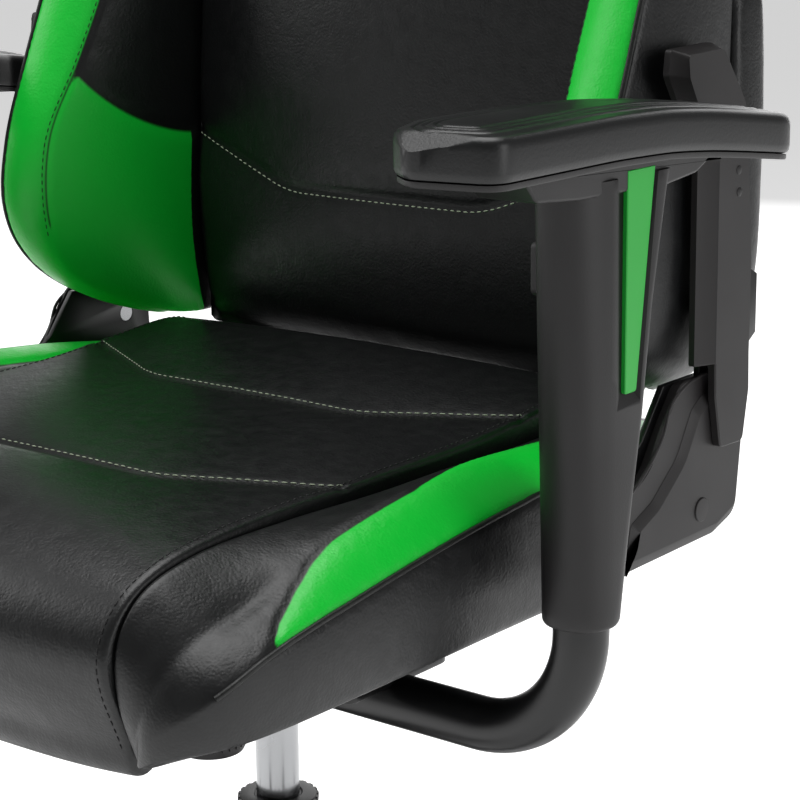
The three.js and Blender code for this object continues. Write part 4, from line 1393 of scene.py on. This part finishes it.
def makeBezels():
    for side, turn in sides.items():
        outline = roundOutline(backShell["slot"], 8)
        normal = outlineNormals(outline)
        rings = []
        for y, inset in ((189, -7), (191, -5), (190.5, 2), (186, 5), (96, 5), (88, 2.5), (87, -3),
                         (88.5, -7), (92, -8),
                         (92, -1), (186, -1), (189, -1)):
            ring = along("Y", y, outline - normal * inset)
            rings.append(ring)
        points = np.vstack(rings)
        n, count = len(outline), len(rings)
        faces = [(i * n + j, i * n + (j + 1) % n, ((i + 1) % count) * n + (j + 1) % n,
                  ((i + 1) % count) * n + j)
                 for i in range(count) for j in range(n)]
        piece = makePiece(f"harness_frame_{side}", points, faces, turn < 0, sharp=40)
        leanBack(piece)
        standFor(piece, f"harness_bezel_{side}", material=satinNylon)


makeHead()
makeRearShell()
makeBezels()
print("upper back ready")


# Base, casters, gas lift, mechanism and levers

liftSize = {
    "sides": 56, "capLugs": 24, "lugCircle": 24.5, "lug": (3.5, 3.6, 3.4), "lugHeight": 276.8,
    "knobY": -62, "knobRibs": 28, "ribCircle": 21.9, "rib": (1.8, 2.2, 19), "ribHeight": 345,
    # turned profiles, as (radius, height)
    "column": [(0, 64), (22, 64), (24, 66), (25, 72), (25, 272), (24.4, 273.8), (0, 274)],
    "cap": [(14.6, 274.4), (25.2, 274.4), (26, 275), (26, 277.2), (24.6, 279), (20, 280), (16, 280),
            (14.9, 279)],
    "piston": [(0, 236), (13.6, 236), (14, 237), (14, 364), (13, 388), (0, 388)],
    "knob": [(0, 330), (17, 330), (20.6, 331.2), (22, 334), (22, 355), (20, 357.6), (12.5, 359),
             (12.5, 367.5),
             (0, 367.5)],
}


def lugsRound(name, count, circle, size, y, height):
    # short bars round a vertical axis at y, all in millimetres
    return grow("lugs", name, [[(0, 0, 0), (1, 0, 0)]], smooth=False, Count=count, Circle=circle / 1000,
                Size=tuple(v / 1000 for v in size), Centre=(0, axisY + y / 1000, height / 1000),
                Finish=texturedAbs)


def makeLift():
    size, centre = liftSize, (0, 0, 0)
    column = turnedPiece("lift_column", size["column"], centre, size["sides"])
    standFor(column, "gas_cylinder", material=powderCoat)
    ring = turnedPiece("ring", size["cap"], centre, size["sides"])
    lugs = lugsRound("lugs", size["capLugs"], size["lugCircle"], size["lug"], 0, size["lugHeight"])
    standFor(joined("lift_column_cap", ring, lugs), "cylinder_cap", material=texturedAbs)
    rod = turnedPiece("lift_piston", size["piston"], centre, size["sides"])
    standFor(rod, "lift_rod", material=chrome)
    knob = turnedPiece("knob", size["knob"], (0, size["knobY"], 0), 48)
    ribs = lugsRound("ribs", size["knobRibs"], size["ribCircle"], size["rib"], size["knobY"],
                     size["ribHeight"])
    standFor(joined("tension_grip", knob, ribs), "tension_knob", material=texturedAbs)


wheelSize = {
    "half": 28, "axle": 4, "axleHalf": 8,
    # from the middle of a caster to a wheel's outer face, and the axle
    "tread": [(0, 6.6), (4, 6.6), (5, 6.2), (26, 6.2), (28.6, 6.8), (30, 9.5), (30, 22), (29.2, 24.6),
              (26.6, 26),
              (23, 26.4), (22, 25.2), (20, 24.4), (10, 24.6), (8, 27), (6, 28), (0, 28)],
}


def makeWheels(number):
    # two treads with dished discs on one axle, each turned about the CAD wheels' own axis
    node = f"caster_wheels_{number}"
    low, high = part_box(node)
    middle = (low + high) / 2
    # the axle is the direction in which the pair measures its full width
    spots = np.array([v.co[:2] for v in frame["nodes"][node].data.vertices]) - np.array(middle[:2])
    ways = np.linalg.eigh(spots.T @ spots)[1].T
    axle = min(ways, key=lambda way: abs(np.abs(spots @ way).max() - wheelSize["half"] / 1000))
    turn = math.atan2(axle[1], axle[0])
    radius, reach = wheelSize["axle"], wheelSize["axleHalf"]
    wheels = [turnedPiece("wheel", wheelSize["tread"], (0, 0, 0), 40, "X", mirrored=way < 0) for way in (1,
                                                                                                         -1)]
    axleRod = turnedPiece("axle", [(0, -reach), (radius, -reach), (radius, reach), (0, reach)], (0, 0, 0),
                          20, "X")
    piece = joined(f"caster_rollers_{number}", *wheels, axleRod)
    p = readPoints(piece)
    c, s = math.cos(turn), math.sin(turn)
    spun = np.stack([p[:, 0] * c - p[:, 1] * s, p[:, 0] * s + p[:, 1] * c, p[:, 2]], axis=1)
    spun += np.array([middle.x * 1000, (middle.y - axisY) * 1000, middle.z * 1000])
    writePoints(piece, spun)
    standFor(piece, node, material=casterPu)


# CAD nodes whose edges only need rounding: the edge's width in millimetres, the finish, and the
# sharpest angle that still counts as flat
roundedNodes = {
    "star_base": (2.2, satinNylon, 24), "tilt_housing": (2.0, powderCoat, 28),
    "seat_plate": (0.7, powderCoat, 28),
    "tilt_pin": (0.6, chrome, 40), "seat_board": (0.8, sheetPaint, 28), "seat_frame": (1.2, powderCoat, 40),
    "lift_lever": (1.2, texturedAbs, 28), "recline_lever": (1.6, texturedAbs, 28),
    "recliner_cross_tube": (0.6, powderCoat, 40), "back_frame": (0.5, powderCoat, 60),
}

makeLift()
for number in range(1, 6):
    makeWheels(number)
    softened(f"caster_hood_{number}", 0.6, satinNylon, 35)
for node, (edge, material, angle) in roundedNodes.items():
    softened(node, edge, material, angle)
print("base and mechanism ready")


# everything the passes above have not replaced yet gets its finish
plainFinish = {
    "base_nylon": satinNylon, "caster_tread": casterPu, "black_steel": powderCoat,
    "moulded_plastic": texturedAbs,
    "cover_plastic": mistAbs, "chromed_steel": chrome, "black_leather": blackLeather,
    "green_leather": greenLeather,
    "green_plastic": greenAbs, "pad_skin": skinFoam}
for node, part in frame["nodes"].items():
    part.data.materials.clear()
    part.data.materials.append(plainFinish[slotOf[node]])
